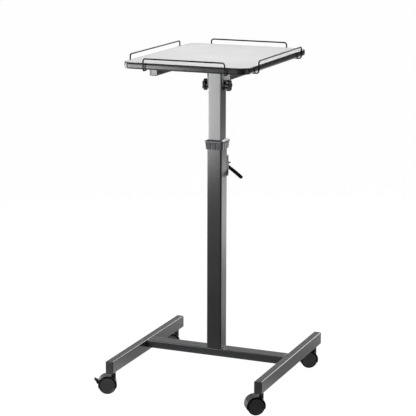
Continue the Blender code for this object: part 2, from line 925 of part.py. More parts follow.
def make_tilt_bracket(table):
    """A folded U over the mast, cut to a tongue on each side of it."""
    inner = upper_mast_width / 2 + washer_thickness + 2 * seat_gap
    outer = inner + bracket_thickness
    top = rail_above_pivot + bracket_thickness
    under = rail_above_pivot
    fold = bracket_corner
    inner_fold = fold - bracket_thickness
    low = -cheek_end_radius - overrun
    outline = [(outer, low)]
    outline += arc(outer - fold, top - fold, fold, 0, quarter_turn, corner_steps)
    outline += arc(fold - outer, top - fold, fold, quarter_turn, math.pi, corner_steps)
    outline += [(-outer, low), (-inner, low)]
    outline += arc(
        inner_fold - inner, under - inner_fold, inner_fold, math.pi, quarter_turn, corner_steps
    )
    outline += arc(inner - inner_fold, under - inner_fold, inner_fold, quarter_turn, 0, corner_steps)
    outline += [(inner, low)]
    half_depth = bracket_depth / 2
    bracket = make_piece(
        "tilt_bracket",
        extruded(outline, bracket_depth + 2 * overrun),
        "graphite_paint",
        table,
        (0, half_depth + overrun, 0),
        (quarter_turn, 0, 0),
    )
    reach = math.hypot(half_depth, under - fold)
    lean = math.acos(cheek_end_radius / reach) - math.atan2(under - fold, half_depth)
    tongue = [(half_depth, top + overrun), (-half_depth, top + overrun)]
    tongue += [(-half_depth, under - fold)]
    tongue += arc(0, 0, cheek_end_radius, math.pi + lean, full_turn - lean, round_steps // 2)
    tongue += [(half_depth, under - fold)]
    cheeks = make_helper(
        "bracket_tongues",
        extruded(tongue, 2 * (outer + overrun)),
        table,
        (-outer - overrun, 0, 0),
        (quarter_turn, 0, quarter_turn),
    )
    combine(bracket, cheeks, "INTERSECT")
    hole = cylinder(pivot_rod_diameter / 2 + seat_gap, 2 * (outer + overrun))
    place = (-outer - overrun, 0, 0)
    turn = (0, quarter_turn, 0)
    combine(bracket, make_helper("bracket_holes", hole, table, place, turn), "DIFFERENCE")


# Tabletop
def board_section(offset, height):
    """The board's outline, grown by an offset, at a height above its underside."""
    width = board_width + 2 * offset
    depth = board_depth + 2 * offset
    return section(width, depth, board_corner + offset, height, tabletop_corner_steps)


def make_tabletop(table):
    groove_low = (tabletop_thickness - tongue_thickness) / 2 - seat_gap
    groove_high = tabletop_thickness - groove_low
    groove_floor = -tongue_depth - seat_gap
    rings = (
        board_section(0, 0),
        board_section(0, groove_low),
        board_section(groove_floor, groove_low),
        board_section(groove_floor, groove_high),
        board_section(0, groove_high),
        board_section(0, tabletop_thickness),
    )
    place = (0, 0, board_bottom - pivot_height)
    board = make_piece("tabletop_board", loft(rings), "table_laminate", table, place)
    hole = cylinder(wire_radius + seat_gap, guard_hole_depth + overrun, fine_round_steps)
    places = [
        (x, y, -overrun) for guard in guard_feet().values() for x, y in (guard[0], guard[-1])
    ]
    holes = cutter_row([hole] * len(places), places)
    hole.free()
    combine(board, make_helper("guard_holes", holes, table, place), "DIFFERENCE")
    skin = seat_gap + moulding_thickness
    crown = skin + moulding_crown
    thick = tabletop_thickness
    soft = moulding_round
    tongue_low = groove_low + seat_gap
    tongue_high = groove_high - seat_gap
    moulding = loft(
        (
            board_section(seat_gap, 0),
            board_section(skin - soft, 0),
            board_section(skin, soft),
            board_section(crown, thick / 3),
            board_section(crown, 2 * thick / 3),
            board_section(skin, thick - soft),
            board_section(skin - soft, thick),
            board_section(seat_gap, thick),
            board_section(seat_gap, tongue_high),
            board_section(-tongue_depth, tongue_high),
            board_section(-tongue_depth, tongue_low),
            board_section(seat_gap, tongue_low),
        ),
        closed=True,
    )
    make_piece("edge_moulding", moulding, "grey_moulding", table, place)


def guard_feet():
    """For each guard, the plan points of its run: hole, leg, leg, hole."""
    half_width = tabletop_width / 2
    half_depth = tabletop_depth / 2
    out_x = half_width + guard_stand_off
    out_y = half_depth + guard_stand_off
    in_x = half_width - guard_hook_inset
    in_y = half_depth - guard_hook_inset
    leg_y = side_guard_length / 2
    feet = {}
    for label, end, shift in (("front", -1, front_guard_shift), ("back", 1, back_guard_shift)):
        low = shift - front_guard_length / 2
        high = shift + front_guard_length / 2
        feet[label] = ((low, end * in_y), (low, end * out_y), (high, end * out_y), (high, end * in_y))
    for label, side in (("left", -1), ("right", 1)):
        hole_x = side * in_x
        leg_x = side * out_x
        feet[label] = ((hole_x, -leg_y), (leg_x, -leg_y), (leg_x, leg_y), (hole_x, leg_y))
    return feet


def make_guards(table):
    """Bent wires: out of a hole under the board, round its edge, along the side and back."""
    underside = board_bottom - pivot_height
    hook = underside - guard_hook_drop
    rail = underside + tabletop_thickness + guard_rail_height
    hole_top = underside + guard_hole_depth - seat_gap
    bends = (guard_hook_bend, guard_bend, guard_bend, guard_bend, guard_bend, guard_hook_bend)
    for label, (first_hole, first_leg, last_leg, last_hole) in guard_feet().items():
        corners = (
            (*first_hole, hole_top),
            (*first_hole, hook),
            (*first_leg, hook),
            (*first_leg, rail),
            (*last_leg, rail),
            (*last_leg, hook),
            (*last_hole, hook),
            (*last_hole, hole_top),
        )
        path = filleted_path(corners, bends)
        name = f"{label}_wire_guard"
        curve = bpy.data.curves.new(name, "CURVE")
        curve.dimensions = "3D"
        spline = curve.splines.new("POLY")
        spline.points.add(len(path) - 1)
        for point, place in zip(spline.points, path):
            point.co = (*place, 1)
        curve.bevel_depth = wire_radius
        curve.bevel_resolution = 1
        curve.use_fill_caps = True
        curve.materials.append(make_material(name, "black_wire"))
        guard = bpy.data.objects.new(name, curve)
        guard.parent = table
        bpy.context.scene.collection.objects.link(guard)


# Casters
def hood_ring(radius, place):
    """The hood's side outline: an arc closed by the straight line of its lower edge."""
    sag = math.asin(hood_skirt_drop / radius)
    return [(x, y, place) for x, y in arc(0, 0, radius, -sag, math.pi + sag, hood_steps)]


def make_hood(name, swivel, braked):
    """A moulded hood: two wheel covers on a middle web, with the stem's socket and axle boss."""
    half = hood_width / 2
    shell = loft(
        (
            hood_ring(hood_radius - hood_edge, -half),
            hood_ring(hood_radius, hood_edge - half),
            hood_ring(hood_radius, half - hood_edge),
            hood_ring(hood_radius - hood_edge, half),
        )
    )
    hood_height = wheel_radius + hood_rise
    side_turn = (quarter_turn, 0, 0)
    place = (-caster_trail, 0, hood_height)
    hood = make_piece(name + "_hood", shell, "black_plastic", swivel, place, side_turn)
    socket_bottom = hood_height + hood_radius / 2
    socket = cylinder(socket_radius, socket_top - socket_bottom)
    socket_place = (0, 0, socket_bottom)
    combine(hood, make_helper(name + "_socket", socket, swivel, socket_place), "UNION")
    for label, side in (("outer", -1), ("inner", 1)):
        well = cylinder(hood_radius - hood_shell, half + overrun, wheel_steps)
        place = (-caster_trail, side * caster_web / 2, hood_height)
        turn = (-side * quarter_turn, 0, 0)
        helper = make_helper(f"{name}_{label}_well", well, swivel, place, turn)
        combine(hood, helper, "DIFFERENCE")
    boss_length = caster_web + 2 * axle_boss_height
    boss = cylinder(axle_boss_radius, boss_length)
    place = (-caster_trail, boss_length / 2, wheel_radius)
    combine(hood, make_helper(name + "_boss", boss, swivel, place, side_turn), "UNION")
    bore = cylinder(stem_diameter / 2 + seat_gap, stem_depth + overrun)
    place = (0, 0, socket_top - stem_depth)
    combine(hood, make_helper(name + "_stem_bore", bore, swivel, place), "DIFFERENCE")
    hole_length = boss_length + 2 * overrun
    hole = cylinder(axle_diameter / 2 + seat_gap, hole_length, fine_round_steps)
    place = (-caster_trail, hole_length / 2, wheel_radius)
    combine(hood, make_helper(name + "_axle_hole", hole, swivel, place, side_turn), "DIFFERENCE")
    if braked:
        cut_pedal_slot(name, hood, swivel)


def cut_pedal_slot(name, hood, swivel):
    """A slot through the back of the hood for the pedal's arm, crossed by the pedal's pin."""
    slot_width = pedal_arm + 2 * running_gap
    pin_x = -caster_trail - pedal_pin_from_axle
    inner_x = pin_x + pedal_ring_radius + running_gap
    outer_x = -caster_trail - hood_radius - overrun
    bottom = wheel_radius + hood_rise - hood_skirt_drop - overrun
    height = hood_skirt_drop + overrun + pedal_slot_rise
    slot = block(inner_x - outer_x, slot_width, height)
    place = ((inner_x + outer_x) / 2, 0, bottom)
    combine(hood, make_helper(name + "_pedal_slot", slot, swivel, place), "DIFFERENCE")
    pin_length = (slot_width + caster_web) / 2
    pin = cylinder(pedal_pin_radius, pin_length)
    place = (pin_x, pin_length / 2, wheel_radius)
    turn = (quarter_turn, 0, 0)
    combine(hood, make_helper(name + "_pedal_pin", pin, swivel, place, turn), "UNION")


def make_brake_pedal(name, swivel):
    """A pedal hinged at the hood's back edge: a ring on the pin, an arm and a curved tab."""
    pin_place = (-caster_trail - pedal_pin_from_axle, 0, wheel_radius)
    axis = make_empty(name + "_pedal_axis", swivel, pin_place)
    turn = (quarter_turn, 0, 0)
    half_arm = pedal_arm / 2
    bore = pedal_pin_radius + seat_gap
    ring = turned(
        ((bore, 0), (pedal_ring_radius, 0), (pedal_ring_radius, pedal_arm), (bore, pedal_arm)),
        small_round_steps,
        bored=True,
    )
    pedal = make_piece(name + "_brake_pedal", ring, "black_plastic", axis, (0, half_arm, 0), turn)
    inner = hood_radius + pedal_tab_gap
    outer = inner + pedal_heel_thickness
    tip = inner + pedal_tip_reach
    low = math.pi - pedal_tab_low
    high = math.pi - pedal_tab_high
    inner_arc = arc(0, 0, inner, low, high, corner_steps)
    tip_edge = arc(0, 0, tip, high, math.pi - pedal_tip_angle, 1)
    heel_arc = arc(0, 0, outer, math.pi - pedal_heel_angle, low, 1)
    half_tab = pedal_width / 2
    tab = make_helper(
        name + "_pedal_tab",
        extruded(inner_arc + tip_edge + heel_arc, pedal_width),
        axis,
        (pedal_pin_from_axle, half_tab, hood_rise),
        turn,
    )
    combine(pedal, tab, "UNION")
    arm_length = inner + pedal_heel_thickness / 2 - pedal_pin_from_axle - bore
    arm = block(arm_length, pedal_arm, 1.5 * pedal_ring_radius)
    place = (-bore - arm_length / 2, 0, pedal_ring_radius / 2)
    combine(pedal, make_helper(name + "_pedal_arm", arm, axis, place), "UNION")


def wheel_shape():
    """A wheel from its inner side at z = 0 to its dished outer face."""
    bore = axle_diameter / 2 + seat_gap
    rim = wheel_radius - wheel_rim
    face = wheel_width - wheel_dish
    return turned(
        (
            (bore, 0),
            (wheel_radius - wheel_edge, 0),
            (wheel_radius, wheel_edge),
            (wheel_radius, wheel_width - wheel_edge),
            (wheel_radius - wheel_edge, wheel_width),
            (rim, wheel_width),
            (rim - wheel_dish, face),
            (0, wheel_width - wheel_dish / 2),
            (0, wheel_bore_depth),
            (bore, wheel_bore_depth),
        ),
        wheel_steps,
        bored=True,
    )


def stem_shape():
    """A caster's stem from its flange at z = 0: pintle below, thread above."""
    pintle = stem_diameter / 2
    thread = stem_thread_diameter / 2
    flange = stem_flange_radius
    flange_thickness = runner_bottom - socket_top - 2 * seat_gap
    thread_top = flange_thickness + stem_thread_length
    chamfer = stem_chamfer
    pintle_end = 2 * seat_gap - stem_depth
    return turned(
        (
            (0, pintle_end),
            (pintle - chamfer, pintle_end),
            (pintle, pintle_end + chamfer),
            (pintle, 0),
            (flange, 0),
            (flange, flange_thickness),
            (thread, flange_thickness),
            (thread, thread_top - chamfer),
            (thread - chamfer, thread_top),
            (0, thread_top),
        ),
        fine_round_steps,
    )


def make_caster(name, side, end, heading, braked, base, cart):
    stem_place = (side * caster_x, end * caster_y, socket_top + seat_gap)
    make_piece(name + "_stem", stem_shape(), "zinc_steel", base, stem_place)
    swivel_place = (side * caster_x, end * caster_y, 0)
    swivel = make_empty(name + "_swivel", cart, swivel_place, (0, 0, heading))
    make_hood(name, swivel, braked)
    axle_place = (-caster_trail, axle_length / 2, wheel_radius)
    axle = cylinder(axle_diameter / 2, axle_length)
    make_piece(name + "_axle", axle, "zinc_steel", swivel, axle_place, (quarter_turn, 0, 0))
    axle_line = make_empty(name + "_axle_line", swivel, (-caster_trail, 0, wheel_radius))
    for label, way in (("outer", -1), ("inner", 1)):
        place = (0, way * (caster_web / 2 + running_gap), 0)
        turn = (-way * quarter_turn, 0, 0)
        wheel_name = f"{name}_{label}_wheel"
        make_piece(wheel_name, wheel_shape(), "wheel_tread", axle_line, place, turn)
    if braked:
        make_brake_pedal(name, swivel)


def main():
    clear_scene()
    cart = make_empty("cart", None, cart_offset())
    base = make_empty("foot", cart)
    make_foot(base)
    make_lower_mast(base)
    make_mast_collar(base)
    make_clamp(base)
    make_clamp_lever(cart)
    mast = make_empty("mast", cart, (0, 0, pivot_height))
    make_upper_mast(mast)
    make_pivot(mast)
    make_knobs(mast)
    table = make_empty("tilting_table", mast)
    make_rail_frame(table)
    make_tilt_bracket(table)
    make_tabletop(table)
    make_guards(table)
    for name, (side, end, heading, braked) in casters.items():
        make_caster(name, side, end, heading, braked, base, cart)


main()
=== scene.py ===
import json
import math

import bmesh
import bpy
from mathutils import Euler, Matrix, Vector


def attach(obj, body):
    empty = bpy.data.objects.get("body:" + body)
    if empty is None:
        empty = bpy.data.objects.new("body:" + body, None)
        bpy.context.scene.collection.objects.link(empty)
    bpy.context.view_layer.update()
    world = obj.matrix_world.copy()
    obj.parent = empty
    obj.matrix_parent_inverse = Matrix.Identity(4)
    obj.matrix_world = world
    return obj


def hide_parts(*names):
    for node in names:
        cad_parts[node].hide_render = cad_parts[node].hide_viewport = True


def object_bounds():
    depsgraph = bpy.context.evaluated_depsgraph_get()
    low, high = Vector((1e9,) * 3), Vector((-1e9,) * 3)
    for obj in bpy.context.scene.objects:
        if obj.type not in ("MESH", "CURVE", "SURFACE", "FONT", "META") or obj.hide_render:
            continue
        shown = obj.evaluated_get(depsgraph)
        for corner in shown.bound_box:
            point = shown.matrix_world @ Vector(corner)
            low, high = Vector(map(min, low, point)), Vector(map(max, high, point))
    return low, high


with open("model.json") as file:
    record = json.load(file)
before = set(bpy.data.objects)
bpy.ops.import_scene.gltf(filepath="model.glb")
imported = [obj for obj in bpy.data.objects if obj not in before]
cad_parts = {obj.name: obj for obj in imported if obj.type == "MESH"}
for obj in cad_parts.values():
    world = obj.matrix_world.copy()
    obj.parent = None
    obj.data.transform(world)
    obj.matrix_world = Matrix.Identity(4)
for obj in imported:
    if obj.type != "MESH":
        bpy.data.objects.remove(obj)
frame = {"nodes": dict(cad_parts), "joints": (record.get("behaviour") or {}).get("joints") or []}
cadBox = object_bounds()
print("frame loaded:", len(frame["nodes"]), "nodes")

fullTurn = 2 * math.pi
quarterTurn = math.pi / 2
towardsFront = (quarterTurn, 0, 0)  # where a shape's own Z axis points once it is placed
towardsBack = (-quarterTurn, 0, 0)
towardsLeft = (0, -quarterTurn, 0)
towardsRight = (0, quarterTurn, 0)
ends = ((-1, "front", towardsFront), (1, "back", towardsBack))
sides = ((-1, "left", towardsLeft), (1, "right", towardsRight))
gap = 0.0003  # between pieces that touch
spare = 0.004  # how far a cutting tool reaches past the surface
weld = 0.000002  # points nearer than this become one

joints = {joint["name"]: joint for joint in frame["joints"]}
corners = ("front_left", "front_right", "back_left", "back_right")
swivels = {corner: Vector(joints[corner + "_swivel"]["pos_m"]) for corner in corners}
middle = sum(swivels.values(), Vector()) / 4
middle.z = 0  # on the floor, under the mast's axis
cart = Matrix.Translation(middle)


# Outlines and solids. Every shape is made about its own Z axis and placed afterwards.

def arc(x, y, radius, start, end, steps):
    angles = [start + (end - start) * step / steps for step in range(steps + 1)]
    return [(x + radius * math.cos(a), y + radius * math.sin(a)) for a in angles]


def bend(steps, first=0, turn=quarterTurn):
    # sine and cosine at each step round an edge, from step number first on
    angles = [turn * step / steps for step in range(first, steps + 1)]
    return [(math.sin(a), math.cos(a)) for a in angles]


def lowerEdge(reach, height, edge, steps):
    # pairs of reach and height round an outer edge, from underneath to the side
    return [(reach - edge * (1 - sine), height + edge * (1 - cosine)) for sine, cosine in bend(steps)]


def upperEdge(reach, height, edge, steps, first=0, turn=quarterTurn):
    # the same from the side to the top
    return [(reach - edge * (1 - cosine), height - edge * (1 - sine))
            for sine, cosine in bend(steps, first, turn)]


def roundedRing(width, depth, radius, height, steps=8):
    points = []
    for quarter, (sideX, sideY) in enumerate(((1, 1), (-1, 1), (-1, -1), (1, -1))):
        x = sideX * (width / 2 - radius)
        y = sideY * (depth / 2 - radius)
        start = quarter * quarterTurn
        points += [(px, py, height) for px, py in arc(x, y, radius, start, start + quarterTurn, steps)]
    return points


def squareRing(half, radius, height):
    return roundedRing(2 * half, 2 * half, radius, height)


def loft(rings, closed=False):
    shape = bmesh.new()
    loops = [[shape.verts.new(point) for point in ring] for ring in rings]
    pairs = list(zip(loops, loops[1:]))
    if closed:
        pairs.append((loops[-1], loops[0]))
    else:
        shape.faces.new(reversed(loops[0]))
        shape.faces.new(loops[-1])
    for low, high in pairs:
        for index in range(len(low)):
            after = (index + 1) % len(low)
            shape.faces.new((low[index], low[after], high[after], high[index]))
    bmesh.ops.recalc_face_normals(shape, faces=shape.faces)
    return shape


def lathe(profile, steps, bored=False):
    shape = bmesh.new()
    points = [shape.verts.new((radius, 0, height)) for radius, height in profile]
    pairs = list(zip(points, points[1:]))
    if bored:
        pairs.append((points[-1], points[0]))
    edges = [shape.edges.new(pair) for pair in pairs]
    bmesh.ops.spin(shape, geom=points + edges, axis=(0, 0, 1), cent=(0, 0, 0),
                   steps=steps, angle=fullTurn, use_merge=True)
    bmesh.ops.remove_doubles(shape, verts=shape.verts, dist=weld)
    bmesh.ops.recalc_face_normals(shape, faces=shape.faces)
    return shape


def extrude(outline, depth):
    shape = bmesh.new()
    face = shape.faces.new([shape.verts.new((x, y, 0)) for x, y in outline])
    grown = bmesh.ops.extrude_face_region(shape, geom=[face])
    moved = [item for item in grown["geom"] if isinstance(item, bmesh.types.BMVert)]
    bmesh.ops.translate(shape, verts=moved, vec=(0, 0, depth))
    bmesh.ops.recalc_face_normals(shape, faces=shape.faces)
    return shape


def block(width, depth, height):
    shape = bmesh.new()
    bmesh.ops.create_cube(shape, size=1)
    bmesh.ops.scale(shape, verts=shape.verts, vec=(width, depth, height))
    bmesh.ops.translate(shape, verts=shape.verts, vec=(0, 0, height / 2))
    return shape


def rod(radius, height, edge=0.0, steps=48):
    if not edge:
        return lathe(((0, 0), (radius, 0), (radius, height), (0, height)), steps)
    return lathe(((0, 0), (radius - edge, 0), (radius, edge), (radius, height - edge),
                  (radius - edge, height), (0, height)), steps)


def tube(width, depth, wall, corner, length, edge=0.0004):
    def ring(less, height):
        return roundedRing(width - 2 * less, depth - 2 * less, corner - less, height)

    return loft((ring(edge, 0), ring(0, edge), ring(0, length - edge), ring(edge, length),
                 ring(wall, length), ring(wall, 0)), closed=True)


def filletedPath(points, bends, steps=12):
    spots = [Vector(point) for point in points]
    path = [spots[0]]
    for before, corner, after, radius in zip(spots, spots[1:], spots[2:], bends):
        back = (before - corner).normalized()
        ahead = (after - corner).normalized()
        half = back.angle(ahead) / 2
        centre = corner + (back + ahead).normalized() * radius / math.sin(half)
        start = (corner + back * radius / math.tan(half) - centre).normalized()
        end = (corner + ahead * radius / math.tan(half) - centre).normalized()
        path += [centre + start.slerp(end, step / steps) * radius for step in range(steps + 1)]
    path.append(spots[-1])
    return path


def placed(x=0, y=0, z=0, turn=(0, 0, 0)):
    return Matrix.Translation((x, y, z)) @ Euler(turn).to_matrix().to_4x4()


def linked(name, data):
    made = bpy.data.objects.new(name, data)
    bpy.context.scene.collection.objects.link(made)
    return made


def meshOf(shape, name):
    mesh = bpy.data.meshes.new(name)
    shape.to_mesh(mesh)
    shape.free()
    return mesh


def carve(mesh, work):
    # work: (operation, bmesh, matrix in the mesh's own frame); returns the finished mesh
    carving = linked("carving", mesh)
    tools = []
    for operation, shape, matrix in work:
        tool = linked("carvingTool", meshOf(shape, "carvingTool"))
        tool.matrix_world = matrix
        modifier = carving.modifiers.new("carve", "BOOLEAN")
        modifier.operation = operation
        modifier.solver = "EXACT"
        modifier.object = tool
        tools.append(tool)
    bpy.context.view_layer.update()
    graph = bpy.context.evaluated_depsgraph_get()
    finished = bpy.data.meshes.new_from_object(carving.evaluated_get(graph))
    for item in [carving] + tools:
        bpy.data.objects.remove(item, do_unlink=True)
    return finished


shading = {"sharpAbove": math.radians(35), "bevelAbove": math.radians(40), "bevelSegments": 3}


def camelName(words):
    first, *others = words.split("_")
    return first + "".join(word.title() for word in others)


def piece(words, shape, finish, body, place, bevel=0.0, nodes=None):
    # it stands for the node of the same words, unless nodes says otherwise
    name = camelName(words)
    mesh = shape if isinstance(shape, bpy.types.Mesh) else meshOf(shape, name)
    if not mesh.materials:
        mesh.materials.append(finishes[finish])
    mesh.shade_smooth()
    mesh.set_sharp_from_angle(angle=shading["sharpAbove"])
    made = linked(name, mesh)
    made.matrix_world = place
    if bevel:
        edge = made.modifiers.new("edge", "BEVEL")
        edge.width = bevel
        edge.segments = shading["bevelSegments"]
        edge.limit_method = "ANGLE"
        edge.angle_limit = shading["bevelAbove"]
    level = made.modifiers.new("level", "WEIGHTED_NORMAL")
    level.keep_sharp = True
    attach(made, body)
    replaced = (words,) if nodes is None else nodes
    if replaced:
        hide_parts(*replaced)


# Shader sums. A Value is one socket; the Math nodes come from writing sums with it.

class Value:
    def __init__(self, nodes, socket):
        self.nodes = nodes
        self.socket = socket

    def sum(self, operation, first, second=0.0):
        return self.nodes.node("ShaderNodeMath", {"operation": operation}, {0: first, 1: second})

    def __add__(self, other):
        return self.sum("ADD", self, other)

    def __radd__(self, other):
        return self.sum("ADD", other, self)

    def __sub__(self, other):
        return self.sum("SUBTRACT", self, other)

    def __rsub__(self, other):
        return self.sum("SUBTRACT", other, self)

    def __mul__(self, other):
        return self.sum("MULTIPLY", self, other)

    def __rmul__(self, other):
        return self.sum("MULTIPLY", other, self)

    def __abs__(self):
        return self.sum("ABSOLUTE", self)

    def atLeast(self, other):
        return self.sum("MAXIMUM", self, other)

    def ramp(self, low, high, toLow=0.0, toHigh=1.0):
        sockets = {"Value": self, "From Min": low, "From Max": high, "To Min": toLow, "To Max": toHigh}
        return self.nodes.node("ShaderNodeMapRange", {"interpolation_type": "SMOOTHSTEP"}, sockets)


class Nodes:
    def __init__(self, tree):
        self.tree = tree

    def feed(self, node, sockets):
        for key, value in sockets.items():
            if isinstance(value, Value):
                self.tree.links.new(value.socket, node.inputs[key])
            elif isinstance(value, tuple) and len(value) == 3 and node.inputs[key].type == "RGBA":
                node.inputs[key].default_value = (*value, 1)
            else:
                node.inputs[key].default_value = value

    def node(self, kind, settings=None, sockets=None, output=0):
        made = self.tree.nodes.new(kind)
        for key, value in (settings or {}).items():
            setattr(made, key, value)
        self.feed(made, sockets or {})
        return Value(self, made.outputs[output])

    def ray(self, kind):
        return self.node("ShaderNodeLightPath", output=f"Is {kind} Ray")

    def facing(self, direction, towards):
        sockets = {0: direction, 1: Vector(towards).normalized()}
        return self.node("ShaderNodeVectorMath", {"operation": "DOT_PRODUCT"}, sockets, "Value")


class Finish(Nodes):
    def __init__(self, name, roughness=0.5, metallic=0.0, coat=0.0, coatRoughness=0.2, ior=1.5):
        self.material = bpy.data.materials.new(name)
        self.material.use_nodes = True
        super().__init__(self.material.node_tree)
        self.shader = self.tree.nodes["Principled BSDF"]
        self.feed(self.shader, {"Roughness": roughness, "Metallic": metallic, "Coat Weight": coat,
                                "Coat Roughness": coatRoughness, "IOR": ior})
        self.spot = self.node("ShaderNodeTexCoord", output="Object")

    def scaled(self, sizes):
        return self.node("ShaderNodeMapping", None, {"Vector": self.spot, "Scale": sizes})

    def noise(self, scale, detail=3.0, roughness=0.5, spot=None):
        sockets = {"Vector": spot or self.spot, "Scale": scale, "Detail": detail, "Roughness": roughness}
        return self.node("ShaderNodeTexNoise", None, sockets)

    def cells(self, scale, feature="F1"):
        sockets = {"Vector": self.spot, "Scale": scale}
        return self.node("ShaderNodeTexVoronoi", {"feature": feature}, sockets, "Distance")

    def mix(self, amount, first, second):
        # by number, since the Mix node has sockets of the same names for numbers, vectors and colours
        return self.node("ShaderNodeMix", {"data_type": "RGBA"}, {0: amount, 6: first, 7: second}, 2)

    def bump(self, height, strength, distance, under=None):
        sockets = {"Height": height, "Strength": strength, "Distance": distance}
        if under:
            sockets["Normal"] = under
        return self.node("ShaderNodeBump", None, sockets)

    def paint(self, **sockets):
        names = {"colour": "Base Color", "roughness": "Roughness", "coat": "Coat Weight",
                 "normal": "Normal"}
        self.feed(self.shader, {names[key]: value for key, value in sockets.items()})
        return self.material


# Finishes. Noise is given by its waves to the metre, detail and roughness, a bump by its strength and its
# height in metres, and a reach is the ramp that turns noise into a mask.

def grey(level, blue=0.0):
    return (level, level, level + blue)


def brighter(colour, times, more):
    return tuple(min(1, times * part + more) for part in colour)


powderCoat = {
    "flecks": 2600, "fleckReach": (0.05, 0.32, 1.0, 0.0), "fleckShare": 0.10, "fleckShine": (2.4, 0.05),
    "clouds": (9, 4.0, 0.6), "cloudReach": (0.30, 0.70), "cloudRoughness": 0.08,
    "grain": (2600, 1.0), "grainBump": (0.25, 0.000012), "peel": (420, 2.0), "peelBump": (0.35, 0.000022),
    "rubbed": (60, 5.0, 0.7), "rubbedReach": (0.55, 0.75), "rubbedRoughness": 0.05, "rubbedCoat": 0.06,
    "coatRoughness": 0.20, "ior": 1.25}


def paintedSteel(name, colour, pale, roughness, metallic, coat):
    # baked coat over steel: tiny metal flecks, an orange-peel skin and a few rubbed spots
    look = powderCoat
    finish = Finish(name, metallic=metallic, coatRoughness=look["coatRoughness"], ior=look["ior"])
    flecks = finish.cells(look["flecks"]).ramp(*look["fleckReach"])
    clouds = finish.noise(*look["clouds"])
    shade = finish.mix(clouds.ramp(*look["cloudReach"]), colour, pale)
    shade = finish.mix(flecks * look["fleckShare"], shade, brighter(pale, *look["fleckShine"]))
    skin = finish.bump(finish.noise(*look["grain"]), *look["grainBump"])
    skin = finish.bump(finish.noise(*look["peel"]), *look["peelBump"], skin)
    rubbed = finish.noise(*look["rubbed"]).ramp(*look["rubbedReach"])
    roughness = roughness + clouds * look["cloudRoughness"] - rubbed * look["rubbedRoughness"]
    return finish.paint(colour=shade, roughness=roughness, coat=coat - rubbed * look["rubbedCoat"],
                        normal=skin)


moulding = {
    "flow": (22, 4.0, 0.55), "flowReach": (0.3, 0.7), "flowRoughness": 0.10,
    "grain": 1500, "grainHeight": 0.00004, "pitStrength": 0.35,
    "fineTimes": 1.7, "fineDetail": 2.0, "fineStrength": 0.30,
    "marks": (130, 6.0, 0.75), "markStretch": (1, 1, 0.25), "markReach": (0.60, 0.74), "markShare": 0.3,
    "markShine": (1.8, 0.02), "markRoughness": 0.10, "ior": 1.47}


def mouldedPlastic(name, colour, pale, roughness, **other):
    # spark-eroded mould grain, faint flow marks and scuffs
    look = {**moulding, **other}
    finish = Finish(name, ior=look["ior"])
    flow = finish.noise(*look["flow"])
    pits = finish.cells(look["grain"], "SMOOTH_F1")
    fine = finish.noise(look["grain"] * look["fineTimes"], look["fineDetail"])
    marks = finish.noise(*look["marks"], finish.scaled(look["markStretch"])).ramp(*look["markReach"])
    shade = finish.mix(flow.ramp(*look["flowReach"]), colour, pale)
    shade = finish.mix(marks * look["markShare"], shade, brighter(pale, *look["markShine"]))
    skin = finish.bump(pits, look["pitStrength"], look["grainHeight"])
    skin = finish.bump(fine, look["fineStrength"], look["grainHeight"] / 2, skin)
    roughness = roughness + flow * look["flowRoughness"] + marks * look["markRoughness"]
    return finish.paint(colour=shade, roughness=roughness, normal=skin)


laminate = {
    "clouds": (5, 5.0, 0.6), "cloudReach": (0.3, 0.7),
    "specks": (1500, 2.0, 0.6), "speckReach": (0.56, 0.68), "speckShare": 0.35,
    "wiped": (14, 5.0, 0.65), "wipedStretch": (1, 0.35, 1), "wipedRoughness": 0.16,
    "pebbles": 900, "pebbleBump": (0.30, 0.00006), "fine": (2400, 2.0), "fineBump": (0.20, 0.00003),
    "roughness": 0.30, "ior": 1.5}


def laminateSheet(name, colour, pale, speck):
    # printed laminate: a pebbled satin skin with very fine specks
    look = laminate
    finish = Finish(name, ior=look["ior"])
    clouds = finish.noise(*look["clouds"])
    specks = finish.noise(*look["specks"]).ramp(*look["speckReach"])
    shade = finish.mix(clouds.ramp(*look["cloudReach"]), colour, pale)
    shade = finish.mix(specks * look["speckShare"], shade, speck)
    wiped = finish.noise(*look["wiped"], finish.scaled(look["wipedStretch"]))
    skin = finish.bump(finish.cells(look["pebbles"], "SMOOTH_F1"), *look["pebbleBump"])
    skin = finish.bump(finish.noise(*look["fine"]), *look["fineBump"], skin)
    return finish.paint(colour=shade, roughness=look["roughness"] + wiped * look["wipedRoughness"],
                        normal=skin)


plating = {
    "lines": (900, 3.0, 0.5), "lineStretch": (1, 1, 0.03), "lineBump": (0.3, 0.00003),
    "clouds": (160, 4.0, 0.6), "cloudReach": (0.35, 0.70), "cloudRoughness": 0.18, "roughness": 0.22}


def platedSteel(name, colour, dull):
    # bright zinc plate with drawn lines and dull clouds
    look = plating
    finish = Finish(name, metallic=1.0)
    lines = finish.noise(*look["lines"], finish.scaled(look["lineStretch"]))
    clouds = finish.noise(*look["clouds"])
    shade = finish.mix(clouds.ramp(*look["cloudReach"]), colour, dull)
    return finish.paint(colour=shade, roughness=look["roughness"] + clouds * look["cloudRoughness"],
                        normal=finish.bump(lines, *look["lineBump"]))


tread = {
    "dust": (70, 6.0, 0.7), "dustReach": (0.48, 0.72), "dustShare": 0.5, "dustRoughness": 0.22,
    "fine": (1800, 2.0), "fineBump": (0.35, 0.00004), "roughness": 0.46, "ior": 1.30}


def hardTread(name, colour, dusty):
    # dulled where it rolls
    look = tread
    finish = Finish(name, ior=look["ior"])
    dust = finish.noise(*look["dust"]).ramp(*look["dustReach"])
    shade = finish.mix(dust * look["dustShare"], colour, dusty)
    return finish.paint(colour=shade, roughness=look["roughness"] + dust * look["dustRoughness"],
                        normal=finish.bump(finish.noise(*look["fine"]), *look["fineBump"]))


